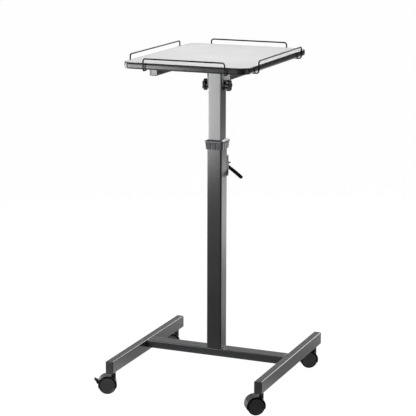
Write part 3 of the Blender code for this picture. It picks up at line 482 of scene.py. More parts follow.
dip = {
    "clouds": (30, 4.0), "cloudReach": (0.35, 0.7), "cloudRoughness": 0.12,
    "ripple": (260, 2.0), "rippleBump": (0.3, 0.00005),
    "roughness": 0.36, "coat": 0.12, "coatRoughness": 0.12, "ior": 1.18}


def glossDip(name, colour, pale):
    # thick gloss coat on drawn wire
    look = dip
    finish = Finish(name, coat=look["coat"], coatRoughness=look["coatRoughness"], ior=look["ior"])
    clouds = finish.noise(*look["clouds"])
    shade = finish.mix(clouds.ramp(*look["cloudReach"]), colour, pale)
    return finish.paint(colour=shade, roughness=look["roughness"] + clouds * look["cloudRoughness"],
                        normal=finish.bump(finish.noise(*look["ripple"]), *look["rippleBump"]))


paints = {
    "graphitePaint": {"colour": grey(0.024, 0.002), "pale": grey(0.030, 0.002),
                      "roughness": 0.45, "metallic": 0.0, "coat": 1.0},
    "silverPaint": {"colour": grey(0.245, 0.004), "pale": grey(0.270, 0.004),
                    "roughness": 0.30, "metallic": 0.04, "coat": 0.55},
}

plastics = {
    "edgeMoulding": {"colour": grey(0.022, 0.001), "pale": grey(0.027, 0.001), "roughness": 0.20,
                     "grain": 1300, "grainHeight": 0.00001, "ior": 1.51},
    "blackPlastic": {"colour": grey(0.010, 0.001), "pale": grey(0.015, 0.001), "roughness": 0.25},
    "hoodPlastic": {"colour": grey(0.013, 0.001), "pale": grey(0.018, 0.001), "roughness": 0.22, "ior": 1.62},
    # darker matte plastic for the brake pedals; on the hood rims it is painted shade
    "dullPlastic": {"colour": grey(0.004), "pale": grey(0.006), "roughness": 0.50, "ior": 1.20},
    "wheelDisc": {"colour": grey(0.052, 0.002), "pale": grey(0.060, 0.002), "roughness": 0.34, "grain": 1700},
    "capPlastic": {"colour": grey(0.036, 0.002), "pale": grey(0.046, 0.002), "roughness": 0.40},
    "collarPlastic": {"colour": grey(0.076, 0.005), "pale": grey(0.086, 0.006), "roughness": 0.20},
    "plugPlastic": {"colour": grey(0.24), "pale": grey(0.28), "roughness": 0.30},
    "nylon": {"colour": grey(0.66, -0.04), "pale": grey(0.72, -0.03), "roughness": 0.40},
}

finishes = {name: paintedSteel(name, **look) for name, look in paints.items()}
finishes.update({name: mouldedPlastic(name, **look) for name, look in plastics.items()})
finishes["tableLaminate"] = laminateSheet("tableLaminate", grey(0.64), grey(0.69), grey(0.50, 0.01))
finishes["wheelTyre"] = hardTread("wheelTyre", grey(0.010), grey(0.024))
finishes["dippedWire"] = glossDip("dippedWire", grey(0.005), grey(0.009))
finishes["zincSteel"] = platedSteel("zincSteel", grey(0.60, -0.01), grey(0.44, -0.01))
print("finishes made:", len(finishes))


# Foot

foot = {"runnerSpacing": 0.502, "runnerLength": 0.563, "runnerWidth": 0.025, "runnerHeight": 0.040,
        "runnerBottom": 0.070, "wall": 0.0015, "corner": 0.003, "barDepth": 0.050, "barHeight": 0.025,
        "capThickness": 0.004, "capInsert": 0.014, "capLead": 0.002, "capTaper": 0.001, "capDome": 0.0015}


def endCap():
    def ring(less, radius, height):
        return roundedRing(foot["runnerWidth"] - less, foot["runnerHeight"] - less, radius, height)

    corner, insert = foot["corner"], foot["capInsert"]
    play = 2 * (foot["wall"] + gap)
    inner = corner - foot["wall"]
    rings = [ring(play + foot["capTaper"], inner, -insert), ring(play, inner, foot["capLead"] - insert),
             ring(play, inner, 0), ring(gap, corner, 0), ring(0, corner, gap)]
    for reach, height in upperEdge(0, foot["capThickness"], foot["capDome"], 6):
        rings.append(ring(-2 * reach, corner + reach / 2, height))
    return loft(rings)


def makeFoot():
    length = foot["runnerLength"] - 2 * (foot["capThickness"] + gap)
    height = foot["runnerBottom"] + foot["runnerHeight"] / 2
    for side, word, _ in sides:
        x = side * foot["runnerSpacing"] / 2
        shape = tube(foot["runnerWidth"], foot["runnerHeight"], foot["wall"], foot["corner"], length)
        place = cart @ placed(x, length / 2, height, towardsFront)
        piece(f"{word}_runner", shape, "graphitePaint", "base", place)
        for end, way, turn in ends:
            place = cart @ placed(x, end * (length / 2 + gap), height, turn)
            piece(f"{way}_{word}_end_cap", endCap(), "capPlastic", "base", place)
    bar = foot["runnerSpacing"] - foot["runnerWidth"] - 2 * gap
    shape = tube(foot["barHeight"], foot["barDepth"], foot["wall"], foot["corner"], bar)
    top = foot["runnerBottom"] + foot["runnerHeight"]
    place = cart @ placed(-bar / 2, 0, top - foot["barHeight"] / 2, towardsRight)
    piece("crossbar", shape, "graphitePaint", "base", place)


# Lower mast, collar and clamp

mast = {"bottom": 0.1103, "length": 0.676, "width": 0.050, "wall": 0.0015, "corner": 0.005,
        "innerWidth": 0.044, "innerCorner": 0.004, "innerLength": 0.670, "overlap": 0.4478,
        "pivotBelowEnd": 0.041, "capFlange": 0.0027, "capInsert": 0.014, "capCorner": 0.0025}
mast["top"] = mast["bottom"] + mast["length"]
mast["innerBottom"] = mast["top"] - mast["overlap"]
mast["innerTop"] = mast["innerBottom"] + mast["innerLength"]
mast["pivot"] = mast["innerTop"] - mast["pivotBelowEnd"]
tiltAxis = cart @ placed(z=mast["pivot"])

collar = {"skirt": 0.0215, "skirtEdge": 0.0005, "flare": 0.0020, "wall": 0.0033, "groove": 0.0010,
          "grooveEdge": 0.0002, "rimHeight": 0.0084, "rimEdge": 0.0008, "rimReach": 0.0012, "roofRise": 0.0040,
          "corner": 0.007, "backReach": 0.004, "mouthEdge": 0.0004, "insert": 0.018, "slotWidth": 0.0045,
          "slotSpacing": 0.019, "slotDepth": 0.0016, "bevel": 0.0003}

clamp = {"height": 0.706, "blockHeight": 0.070, "blockDepth": 0.0125, "edge": 0.004, "screwRadius": 0.005,
         "hubRadius": 0.012, "hubLength": 0.039, "hubEdge": 0.0015, "hubCrown": 1.6, "boreDepth": 0.028,
         "armRadius": 0.0060, "armLength": 0.0745, "armFall": 0.0065, "armRise": 0.012, "armStart": 0.020,
         "armTurn": math.radians(33), "armFrom": 0.12, "armTo": 0.95, "armSteps": 14, "armSides": 24,
         "tipSteps": 7, "tipTurn": quarterTurn * 7 / 7.4,  # stops short of a point
         "pegRadius": 0.0022, "pegReach": 0.0185, "pegStart": 0.002, "pegEdge": 0.0006,
         "pegTurn": math.radians(-9), "bevel": 0.0004}


def makeLowerMast():
    shape = tube(mast["width"], mast["width"], mast["wall"], mast["corner"], mast["length"])
    piece("lower_mast_tube", shape, "graphitePaint", "base", cart @ placed(z=mast["bottom"]))


def collarRing(half, height):
    points = roundedRing(2 * half, 2 * half + collar["backReach"], collar["corner"], height)
    return [(x, y + collar["backReach"] / 2, z) for x, y, z in points]


def makeCollar():
    outer = mast["width"] / 2 + gap
    inner = mast["width"] / 2 - mast["wall"] - gap
    mouth = mast["innerWidth"] / 2 + gap
    low = outer + collar["wall"]
    top = low + collar["flare"]
    waist = top - collar["groove"]
    rim = top + collar["rimReach"]
    grooveTop = gap + collar["groove"]
    rimTop = grooveTop + collar["rimHeight"]
    edge, roof, skirt, insert = collar["rimEdge"], collar["roofRise"], collar["skirt"], collar["insert"]
    rings = [collarRing(low - collar["skirtEdge"], -skirt), collarRing(low, collar["skirtEdge"] - skirt),
             collarRing(top, gap), collarRing(waist, gap + collar["grooveEdge"]),
             collarRing(waist, grooveTop - collar["grooveEdge"])]
    rings += [collarRing(top + collar["rimReach"] * sine, grooveTop + edge * (1 - cosine))
              for sine, cosine in bend(5)]
    slope = math.atan2(roof, rim - mast["innerWidth"] / 2)
    rings += [collarRing(*spot)
              for spot in upperEdge(rim, rimTop - roof, edge, 5, turn=quarterTurn - slope)]
    mouthCorner, mouthEdge = mast["innerCorner"] + gap, collar["mouthEdge"]
    innerCorner, outerCorner = mast["corner"] - mast["wall"], mast["corner"] + gap
    rings += [squareRing(mouth + mouthEdge, mouthCorner + mouthEdge, rimTop),
              squareRing(mouth, mouthCorner, rimTop - mouthEdge), squareRing(mouth, mouthCorner, -insert),
              squareRing(inner, innerCorner, -insert), squareRing(inner, innerCorner, gap),
              squareRing(outer, outerCorner, gap), squareRing(outer, outerCorner, -skirt)]
    cuts = []
    reach = collar["slotDepth"] + collar["flare"] + collar["rimReach"] + spare
    for quarter in range(4):
        floor = low - collar["slotDepth"] + (collar["backReach"] if quarter == 0 else 0)
        turn = Matrix.Rotation(quarter * quarterTurn, 4, "Z")
        for side in (-1, 1):
            slot = block(collar["slotWidth"], reach, skirt + spare + gap)
            spot = placed(side * collar["slotSpacing"] / 2, floor + reach / 2, -skirt - spare)
            cuts.append(("DIFFERENCE", slot, turn @ spot))
    mesh = carve(meshOf(loft(rings, closed=True), "mastCollar"), cuts)
    piece("mast_collar", mesh, "collarPlastic", "base", cart @ placed(z=mast["top"]), collar["bevel"])


def makeClampBlock():
    width, height, edge, depth = mast["width"], clamp["blockHeight"], clamp["edge"], clamp["blockDepth"]
    rings = [roundedRing(width, height, edge, 0)]
    for reach, rise in upperEdge(0, depth, edge / 2, 7):
        rings.append(roundedRing(width + 2 * reach, height + 3 * reach, edge + reach, rise))
    face = mast["width"] / 2 + gap
    place = cart @ placed(0, face, clamp["height"], towardsBack)
    piece("clamp_block", loft(rings), "graphitePaint", "base", place)
    return face + depth


def armRing(share, size=1.0):
    reach = clamp["armLength"] * share
    fall = clamp["armFall"] * share * share
    rise = clamp["armStart"] + clamp["armRise"] * share
    slope = math.atan2(2 * clamp["armFall"] * share, clamp["armLength"])
    ring = []
    for index in range(clamp["armSides"]):
        angle = fullTurn * index / clamp["armSides"]
        across = size * clamp["armRadius"] * math.cos(angle)
        ring.append((reach - across * math.sin(slope), fall + across * math.cos(slope),
                     rise + size * clamp["armRadius"] * math.sin(angle)))
    return ring


def makeClampLever(face):
    radius, edge, length = clamp["hubRadius"], clamp["hubEdge"], clamp["hubLength"]
    bore, deep = clamp["screwRadius"] + gap, clamp["boreDepth"]
    profile = [(bore, 0)] + lowerEdge(radius, 0, edge, 4)
    profile += [(radius - edge * (1 - cosine), length - edge * (2 - clamp["hubCrown"] * sine))
                for sine, cosine in bend(5)]
    profile += [(radius - 3 * edge, length), (0, length), (0, deep), (bore, deep)]
    hub = lathe(profile, 72, bored=True)
    steps, span = clamp["armSteps"], clamp["armTo"] - clamp["armFrom"]
    rings = [armRing(radius / 2 / clamp["armLength"])]
    rings += [armRing(clamp["armFrom"] + span * step / steps) for step in range(steps + 1)]
    start = 1 - clamp["armRadius"] / clamp["armLength"]
    rings += [armRing(start + (1 - start) * sine, cosine)
              for sine, cosine in bend(clamp["tipSteps"], 1, clamp["tipTurn"])]
    start, turn = clamp["screwRadius"] + clamp["pegStart"], clamp["pegTurn"]
    peg = rod(clamp["pegRadius"], clamp["pegReach"] - start - gap, clamp["pegEdge"], 32)
    pegPlace = placed(start * math.cos(turn), start * math.sin(turn), length - 3 * clamp["pegRadius"],
                      (0, quarterTurn, turn))
    armPlace = Matrix.Rotation(clamp["armTurn"], 4, "Z")
    mesh = carve(meshOf(hub, "clampLever"), [("UNION", loft(rings), armPlace), ("UNION", peg, pegPlace)])
    place = cart @ placed(0, face + gap, clamp["height"], towardsBack)
    piece("clamp_lever", mesh, "blackPlastic", "clamp", place, clamp["bevel"])
    frame["nodes"]["clamp_screw"].data.materials[0] = finishes["zincSteel"]


# Inner mast and tilt head. The knob's hub and dish are pairs of radius and height.

head = {"rodRadius": 0.004, "rodLength": 0.080, "rodEdge": 0.0008,
        "washerRadius": 0.015, "washer": 0.0010, "washerEdge": 0.0002,
        "plate": 0.0030, "plateDepth": 0.040, "fold": 0.005, "tongueRadius": 0.015, "railAbovePivot": 0.0495,
        "bevel": 0.0003, "knobRadius": 0.0185, "knobLow": 0.0070, "knobLength": 0.0105, "knobEdge": 0.0020,
        "knobHub": ((0.0110, 0), (0.0115, 0.0005), (0.0115, 0.0062), (0.0123, 0.0070)),
        "knobDish": ((0.0091, 0), (0.0085, -0.0004), (0.0077, -0.0012), (0.0052, -0.0012), (0.0048, -0.0007),
                     (0.0010, -0.0003)),
        "knobTurn": {"left": 0, "right": math.radians(30)}, "knobPoints": 144, "lobes": 6, "lobeDepth": 0.0042}


def plainRing(radius, height):
    return [(x, y, height) for x, y in arc(0, 0, radius, 0, fullTurn, head["knobPoints"])[:-1]]


def lobedRing(radius, height):
    ring = []
    for index in range(head["knobPoints"]):
        angle = fullTurn * index / head["knobPoints"]
        hollow = (1 - math.cos(head["lobes"] * angle)) / 2
        reach = radius - head["lobeDepth"] * hollow * hollow * radius / head["knobRadius"]
        ring.append((reach * math.cos(angle), reach * math.sin(angle), height))
    return ring


def starKnob():
    radius, edge, low = head["knobRadius"], head["knobEdge"], head["knobLow"]
    top = low + head["knobLength"]
    rings = [plainRing(reach, height) for reach, height in head["knobHub"]]
    rings += [lobedRing(*spot)
              for spot in lowerEdge(radius, low, edge, 6) + upperEdge(radius, top, edge, 6)]
    rings += [plainRing(reach, top + height) for reach, height in head["knobDish"]]
    return loft(rings)


def washerShape():
    bore, thick = head["rodRadius"] + gap, head["washer"]
    radius, edge = head["washerRadius"], head["washerEdge"]
    profile = ((bore, 0), (radius - edge, 0), (radius, edge), (radius, thick), (bore, thick))
    return lathe(profile, 64, bored=True)


def makeInnerMast():
    width, corner = mast["innerWidth"], mast["innerCorner"]
    shape = tube(width, width, mast["wall"], corner, mast["innerLength"])
    piece("upper_mast_tube", shape, "silverPaint", "mast", cart @ placed(z=mast["innerBottom"]))
    outer = width / 2
    bore, boreCorner = outer - mast["wall"] - gap, mast["capCorner"]
    flange = mast["capFlange"]
    rings = [squareRing(bore, boreCorner, -mast["capInsert"]), squareRing(bore, boreCorner, gap),
             squareRing(outer, corner, gap)]
    rings += [squareRing(half, corner, height) for half, height in upperEdge(outer, flange, flange / 2, 5)]
    piece("mast_top_cap", loft(rings), "capPlastic", "mast", cart @ placed(z=mast["innerTop"]))
    pivot = rod(head["rodRadius"], head["rodLength"], head["rodEdge"])
    place = tiltAxis @ placed(-head["rodLength"] / 2, turn=towardsRight)
    piece("pivot_rod", pivot, "zincSteel", "mast", place)
    knobFace = outer + head["washer"] + 4 * gap + head["plate"]
    for side, word, turn in sides:
        place = tiltAxis @ placed(side * (outer + gap), turn=turn)
        piece(word + "_friction_washer", washerShape(), "capPlastic", "mast", place)
        place = tiltAxis @ placed(side * knobFace, turn=turn)
        place = place @ Matrix.Rotation(head["knobTurn"][word], 4, "Z")
        piece(word + "_tilt_knob", starKnob(), "blackPlastic", word + "_knob", place)
    for node in ("mast_guide_sleeve", "pressure_pad"):
        frame["nodes"][node].data.materials[0] = finishes["nylon"]


# Frame under the table. The plug's rings say how much smaller each is, and its height.

rails = {"width": 0.025, "height": 0.025, "wall": 0.0015, "corner": 0.003, "length": 0.440, "spacing": 0.240,
         "crossDepth": 0.040, "crossHeight": 0.020, "crossWall": 0.0020, "crossCorner": 0.003,
         "plugRings": ((0.001, -0.012), (0, -0.010), (0, -0.0004), (0.0008, 0), (0.0054, 0), (0.0060, -0.0002),
                       (0.0080, -0.0009), (0.0086, -0.0010)),
         "plugInset": 0.0005, "plugSharpest": 0.0004}


def railPlug():
    play = 2 * (rails["wall"] + gap)
    width, height, corner = rails["width"] - play, rails["height"] - play, rails["corner"] - rails["wall"]
    return loft([roundedRing(width - less, height - less, max(rails["plugSharpest"], corner - less / 4), z)
                 for less, z in rails["plugRings"]])


def tiltBracket():
    inner = mast["innerWidth"] / 2 + head["washer"] + 2 * gap
    outer = inner + head["plate"]
    under = head["railAbovePivot"]
    top = under + head["plate"]
    fold = head["fold"]
    innerFold = fold - head["plate"]
    low = -head["tongueRadius"] - spare
    outline = [(outer, low)] + arc(outer - fold, top - fold, fold, 0, quarterTurn, 8)
    outline += arc(fold - outer, top - fold, fold, quarterTurn, math.pi, 8) + [(-outer, low), (-inner, low)]
    outline += arc(innerFold - inner, under - innerFold, innerFold, math.pi, quarterTurn, 6)
    outline += arc(inner - innerFold, under - innerFold, innerFold, quarterTurn, 0, 6) + [(inner, low)]
    half = head["plateDepth"] / 2
    reach = math.hypot(half, under - fold)
    lean = math.acos(head["tongueRadius"] / reach) - math.atan2(under - fold, half)
    tongue = [(half, top + spare), (-half, top + spare), (-half, under - fold)]
    tongue += arc(0, 0, head["tongueRadius"], math.pi + lean, fullTurn - lean, 32) + [(half, under - fold)]
    lift = placed(y=half, turn=towardsFront)
    cut = placed(-outer - spare, turn=(quarterTurn, 0, quarterTurn))
    hole = placed(-outer - spare, turn=towardsRight)
    across = 2 * (outer + spare)
    return carve(meshOf(extrude(outline, 2 * half), "tiltBracket"), [
        ("INTERSECT", extrude(tongue, across), lift.inverted() @ cut),
        ("DIFFERENCE", rod(head["rodRadius"] + gap, across), lift.inverted() @ hole)]), lift


def makeTableFrame():
    centre = head["railAbovePivot"] + rails["height"] / 2
    for side, word, _ in sides:
        x = side * rails["spacing"] / 2
        shape = tube(rails["width"], rails["height"], rails["wall"], rails["corner"], rails["length"])
        place = tiltAxis @ placed(x, rails["length"] / 2, centre, towardsFront)
        piece(word + "_support_rail", shape, "graphitePaint", "table", place)
        for end, way, turn in ends:
            place = tiltAxis @ placed(x, end * (rails["length"] / 2 - rails["plugInset"]), centre, turn)
            piece(f"{way}_{word}_rail_plug", railPlug(), "plugPlastic", "table", place)
    length = rails["spacing"] - rails["width"] - 2 * gap
    shape = tube(rails["crossHeight"], rails["crossDepth"], rails["crossWall"], rails["crossCorner"], length)
    height = head["railAbovePivot"] + head["plate"] + gap + rails["crossHeight"] / 2
    place = tiltAxis @ placed(-length / 2, 0, height, towardsRight)
    piece("cross_member", shape, "graphitePaint", "table", place)
    mesh, lift = tiltBracket()
    piece("tilt_bracket", mesh, "graphitePaint", "table", tiltAxis @ lift, head["bevel"])


# Tabletop, its moulding and the wire guards

table = {"width": 0.408, "depth": 0.543, "thickness": 0.0195, "corner": 0.032, "cornerSteps": 24,
         "edge": 0.0004, "skin": 0.0026, "round": 0.0022,
         "crown": 0.000999, "reserve": 0.0010}  # how far the moulding bulges, and the room kept for it
table["underside"] = mast["pivot"] + head["railAbovePivot"] + rails["height"] + gap

guards = {"wire": 0.00225, "height": 0.0142, "standOff": 0.0070, "hookDrop": 0.0032, "hookInset": 0.016,
          "holeDepth": 0.012, "bend": 0.0080, "hookBend": 0.0030, "frontLength": 0.264, "frontShift": 0.005,
          "backShift": -0.003, "sideLength": 0.380}


def boardRing(grow, height):
    less = 2 * (gap + table["skin"] + table["reserve"] - grow)
    return roundedRing(table["width"] - less, table["depth"] - less, table["corner"] - less / 2, height,
                       table["cornerSteps"])


def makeTabletop():
    place = cart @ placed(z=table["underside"])
    thick, edge = table["thickness"], table["edge"]
    rings = [boardRing(-edge, 0), boardRing(0, edge), boardRing(0, thick - edge), boardRing(-edge, thick)]
    piece("tabletop_board", loft(rings), "tableLaminate", "table", place)
    skin, soft, crown = gap + table["skin"], table["round"], table["crown"]
    spots = [(gap, thick), (gap, 0)] + lowerEdge(skin, 0, soft, 6)
    for share in (step / 8 for step in range(1, 9)):
        spots.append((skin + crown * math.sin(math.pi * share) ** 0.5, soft + (thick - 2 * soft) * share))
    spots += upperEdge(skin, thick, soft, 6, first=1)
    rings = [boardRing(*spot) for spot in spots]
    piece("edge_moulding", loft(rings, closed=True), "edgeMoulding", "table", place)


def makeGuards():
    underside = table["underside"]
    hook = underside - guards["hookDrop"]
    rail = underside + table["thickness"] + guards["height"]
    holeTop = underside + guards["holeDepth"] - gap
    halfX, halfY = table["width"] / 2, table["depth"] / 2
    outX, inX = halfX + guards["standOff"], halfX - guards["hookInset"]
    outY, inY = halfY + guards["standOff"], halfY - guards["hookInset"]
    reachX, reachY = guards["frontLength"] / 2, guards["sideLength"] / 2
    runs = {}  # the hole and leg at one end of each guard, then the leg and hole at the other
    for end, way, _ in ends:
        low, high = (guards[way + "Shift"] + sign * reachX for sign in (-1, 1))
        runs[way] = ((low, end * inY), (low, end * outY), (high, end * outY), (high, end * inY))
    for side, word, _ in sides:
        runs[word] = ((side * inX, -reachY), (side * outX, -reachY),
                      (side * outX, reachY), (side * inX, reachY))
    bends = (guards["hookBend"], *[guards["bend"]] * 4, guards["hookBend"])
    for word, (holeA, legA, legB, holeB) in runs.items():
        path = filletedPath(((*holeA, holeTop), (*holeA, hook), (*legA, hook), (*legA, rail),
                             (*legB, rail), (*legB, hook), (*holeB, hook), (*holeB, holeTop)), bends)
        curve = bpy.data.curves.new(word + "WireGuard", "CURVE")
        curve.dimensions = "3D"
        line = curve.splines.new("POLY")
        line.points.add(len(path) - 1)
        for point, spot in zip(line.points, path):
            point.co = (*(middle + spot), 1)
        curve.bevel_depth = guards["wire"]
        curve.bevel_resolution = 6
        curve.use_fill_caps = True
        curve.materials.append(finishes["dippedWire"])
        made = linked(word + "WireGuard", curve)
        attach(made, "table")
        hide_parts(word + "_wire_guard")


# Casters. In a caster's own frame the origin is on the floor under the pintle, and the wheels trail
# towards -X.

caster = {"trail": 0.020, "web": 0.011, "runGap": 0.0008, "wheelRadius": 0.0275, "wheelWidth": 0.0142,
          "wheelEdge": 0.0015, "wheelRim": 0.0034, "wheelSteps": 96,
          "tyreLip": ((0.0010, 0), (0.0004, 0.0003), (0, 0.0010)),  # outwards and down from the rim's corner
          "discRim": ((0, 0.0008), (0.0005, 0.0003), (0.0010, 0.0003), (0.0016, 0.0008)),  # inwards and down
          "dish": 0.0008, "discPlay": 0.00005, "discBack": 0.0006, "discBore": 0.0105,
          "axleRadius": 0.003, "axleLength": 0.032, "axleEdge": 0.0004,
          "hoodRadius": 0.0299, "hoodRise": 0.0012, "hoodShell": 0.0018, "hoodWidth": 0.0415,
          "hoodEdge": 0.0010, "hoodBevel": 0.00025, "skirtDrop": 0.0096, "hoodSteps": 56,
          "bossRadius": 0.0075, "bossHeight": 0.0004, "socketRadius": 0.0073, "socketTop": 0.0675,
          "stemRadius": 0.004, "stemDepth": 0.019, "flangeRadius": 0.0085, "threadRadius": 0.005,
          "threadTip": 0.0042, "threadLength": 0.017, "threadEnd": 0.018}

pedal = {"arm": 0.0050, "width": 0.017, "pin": 0.0018, "pinFromAxle": 0.0240, "ring": 0.0036, "gap": 0.0012,
         "heel": 0.0040, "tip": 0.0138, "low": math.radians(6), "heelTurn": math.radians(13),
         "tipTurn": math.radians(22), "high": math.radians(25), "slotRise": 0.0085, "bevel": 0.00035}


def hoodRing(radius, height):
    sag = math.asin(caster["skirtDrop"] / radius)
    return [(x, y, height) for x, y in arc(0, 0, radius, -sag, math.pi + sag, caster["hoodSteps"])]


def makeHoodMesh(braked):
    half, edge, radius = caster["hoodWidth"] / 2, caster["hoodEdge"], caster["hoodRadius"]
    trail, low = caster["trail"], caster["wheelRadius"]
    high = low + caster["hoodRise"]
    rings = [hoodRing(*spot)
             for spot in lowerEdge(radius, -half, edge, 5) + upperEdge(radius, half, edge, 5)]
    hoodFrame = placed(-trail, 0, high, towardsFront)
    work = []

    def add(operation, shape, *place):
        work.append((operation, shape, hoodFrame.inverted() @ placed(*place)))

    bottom = high + radius / 2
    add("UNION", rod(caster["socketRadius"], caster["socketTop"] - bottom, 2 * gap), 0, 0, bottom)
    for side, _, turn in ends:
        well = rod(radius - caster["hoodShell"], half + spare, 0, 96)
        add("DIFFERENCE", well, -trail, side * caster["web"] / 2, high, turn)
    long = caster["web"] + 2 * caster["bossHeight"]
    add("UNION", rod(caster["bossRadius"], long), -trail, long / 2, low, towardsFront)
    stemHole = rod(caster["stemRadius"] + gap, caster["stemDepth"] + spare, 0, 32)
    add("DIFFERENCE", stemHole, 0, 0, caster["socketTop"] - caster["stemDepth"])
    axleHole = rod(caster["axleRadius"] + gap, long + 2 * spare, 0, 40)
    add("DIFFERENCE", axleHole, -trail, long / 2 + spare, low, towardsFront)
    if braked:
        wide = pedal["arm"] + 2 * caster["runGap"]
        pinX = -trail - pedal["pinFromAxle"]
        inside = pinX + pedal["ring"] + caster["runGap"]
        outside = -trail - radius - spare
        slot = block(inside - outside, wide, caster["skirtDrop"] + spare + pedal["slotRise"])
        add("DIFFERENCE", slot, (inside + outside) / 2, 0, high - caster["skirtDrop"] - spare)
        pinLong = (wide + caster["web"]) / 2
        add("UNION", rod(pedal["pin"], pinLong, 0, 32), pinX, pinLong / 2, low, towardsFront)
    mesh = carve(meshOf(loft(rings), "casterHood"), work)
    mesh.materials.append(finishes["hoodPlastic"])
    mesh.materials.append(finishes["dullPlastic"])
    for face in mesh.polygons:
        face.material_index = int(abs(face.center.z) > half - edge)  # painted shade: the rims take a darker, duller copy of the shell's plastic, so they read as a dark ring round the wheel
    return mesh, hoodFrame


def makePedalMesh():
    bore, arm, ring = pedal["pin"] + gap, pedal["arm"], pedal["ring"]
    eye = lathe(((bore, 0), (ring, 0), (ring, arm), (bore, arm)), 48, bored=True)
    inner = caster["hoodRadius"] + pedal["gap"]
    outer = inner + pedal["heel"]
    low, high, heelTurn, tipTurn = (math.pi - pedal[key] for key in ("low", "high", "heelTurn", "tipTurn"))
    outline = arc(0, 0, inner, low, high, 10) + arc(0, 0, inner + pedal["tip"], high, tipTurn, 2)
    outline += arc(0, 0, outer, heelTurn, low, 3)
    pedalFrame = placed(y=arm / 2, turn=towardsFront)
    away = pedalFrame.inverted()
    tabPlace = placed(pedal["pinFromAxle"], pedal["width"] / 2, caster["hoodRise"], towardsFront)
    long = inner + pedal["heel"] / 2 - pedal["pinFromAxle"] - bore
    mesh = carve(meshOf(eye, "brakePedal"), [
        ("UNION", extrude(outline, pedal["width"]), away @ tabPlace),
        ("UNION", block(long, arm, 1.5 * ring), away @ placed(-bore - long / 2, 0, ring / 2))])
    return mesh, pedalFrame


def wheelTyreShape():
    radius, width, edge = caster["wheelRadius"], caster["wheelWidth"], caster["wheelEdge"]
    hub = radius - caster["wheelRim"]
    profile = [(hub, caster["discBack"])] + lowerEdge(radius, 0, edge, 6) + [(radius, width / 2)]
    profile += upperEdge(radius, width, edge, 6)
    profile += [(hub + out, width - down) for out, down in caster["tyreLip"]]
    return lathe(profile, caster["wheelSteps"], bored=True)


def wheelDiscShape():
    hub = caster["wheelRadius"] - caster["wheelRim"] - caster["discPlay"]
    width, dish, back, deep = caster["wheelWidth"], caster["dish"], caster["discBack"], caster["discBore"]
    bore = caster["axleRadius"] + gap
    profile = [(bore, back), (hub, back)]
    profile += [(hub - inward, width - down) for inward, down in caster["discRim"]]
    profile += [(hub * share, width - dish * (1 - math.cos(quarterTurn * share) / 2))
                for share in (0.8, 0.6, 0.4, 0.2)]
    profile += [(0, width - dish / 2), (0, deep), (bore, deep)]
    return lathe(profile, caster["wheelSteps"], bored=True)


def stemShape():
    # a pintle in the hood's socket, a flange under the runner and the end that screws into it
    thick = foot["runnerBottom"] - caster["socketTop"] - 2 * gap
    pintle, flange, thread = caster["stemRadius"], caster["flangeRadius"], caster["threadRadius"]
    low = 2 * gap - caster["stemDepth"]
    end = thick + caster["threadEnd"]
    return lathe(((0, low), (pintle, low), (pintle, 0), (flange - gap, 0), (flange, gap), (flange, thick - gap),
                  (flange - gap, thick), (thread, thick), (thread, thick + caster["threadLength"]),
                  (caster["threadTip"], end), (0, end)), 48)


def makeCasters():
    hoods = {braked: makeHoodMesh(braked) for braked in (False, True)}
    pedalMesh, pedalFrame = makePedalMesh()
    trail, low = caster["trail"], caster["wheelRadius"]
    for corner, pivot in swivels.items():
        braked = corner + "_brake_press" in joints
        along = Vector(joints[corner + "_outer_wheel_roll"]["axis"])
        heading = math.atan2(-along.x, along.y)
        ground = Matrix.Translation((pivot.x, pivot.y, 0)) @ Matrix.Rotation(heading, 4, "Z")
        body = corner + "_caster"
        mesh, hoodFrame = hoods[braked]
        piece(corner + "_hood", mesh, "hoodPlastic", body, ground @ hoodFrame, caster["hoodBevel"])
        axle = rod(caster["axleRadius"], caster["axleLength"], caster["axleEdge"], 40)
        place = ground @ placed(-trail, caster["axleLength"] / 2, low, towardsFront)
        piece(corner + "_axle", axle, "zincSteel", body, place)
        place = ground @ placed(z=caster["socketTop"] + gap)
        piece(corner + "_stem", stemShape(), "zincSteel", "base", place)
        for side, which, turn in ((-1, "outer", towardsFront), (1, "inner", towardsBack)):
            words = f"{corner}_{which}_"
            wheel = words + "wheel"
            place = ground @ placed(-trail, side * (caster["web"] / 2 + caster["runGap"]), low, turn)
            piece(words + "tyre", wheelTyreShape(), "wheelTyre", wheel + "_body", place, nodes=(wheel,))
            piece(words + "disc", wheelDiscShape(), "wheelDisc", wheel + "_body", place, nodes=())
        if braked:
            place = ground @ placed(-trail - pedal["pinFromAxle"], 0, low) @ pedalFrame
            piece(corner + "_brake_pedal", pedalMesh.copy(), "dullPlastic", corner + "_pedal", place,
                  pedal["bevel"])


makeFoot()
print("foot made")
makeLowerMast()
makeCollar()
makeClampLever(makeClampBlock())
print("lower mast and clamp made")
makeInnerMast()
makeTableFrame()
print("inner mast and tilt head made")
makeTabletop()
makeGuards()
print("tabletop and guards made")
makeCasters()
print("casters made")


# Floor, light and camera. A row of four is a ramp: its start, its end, and its level at each.

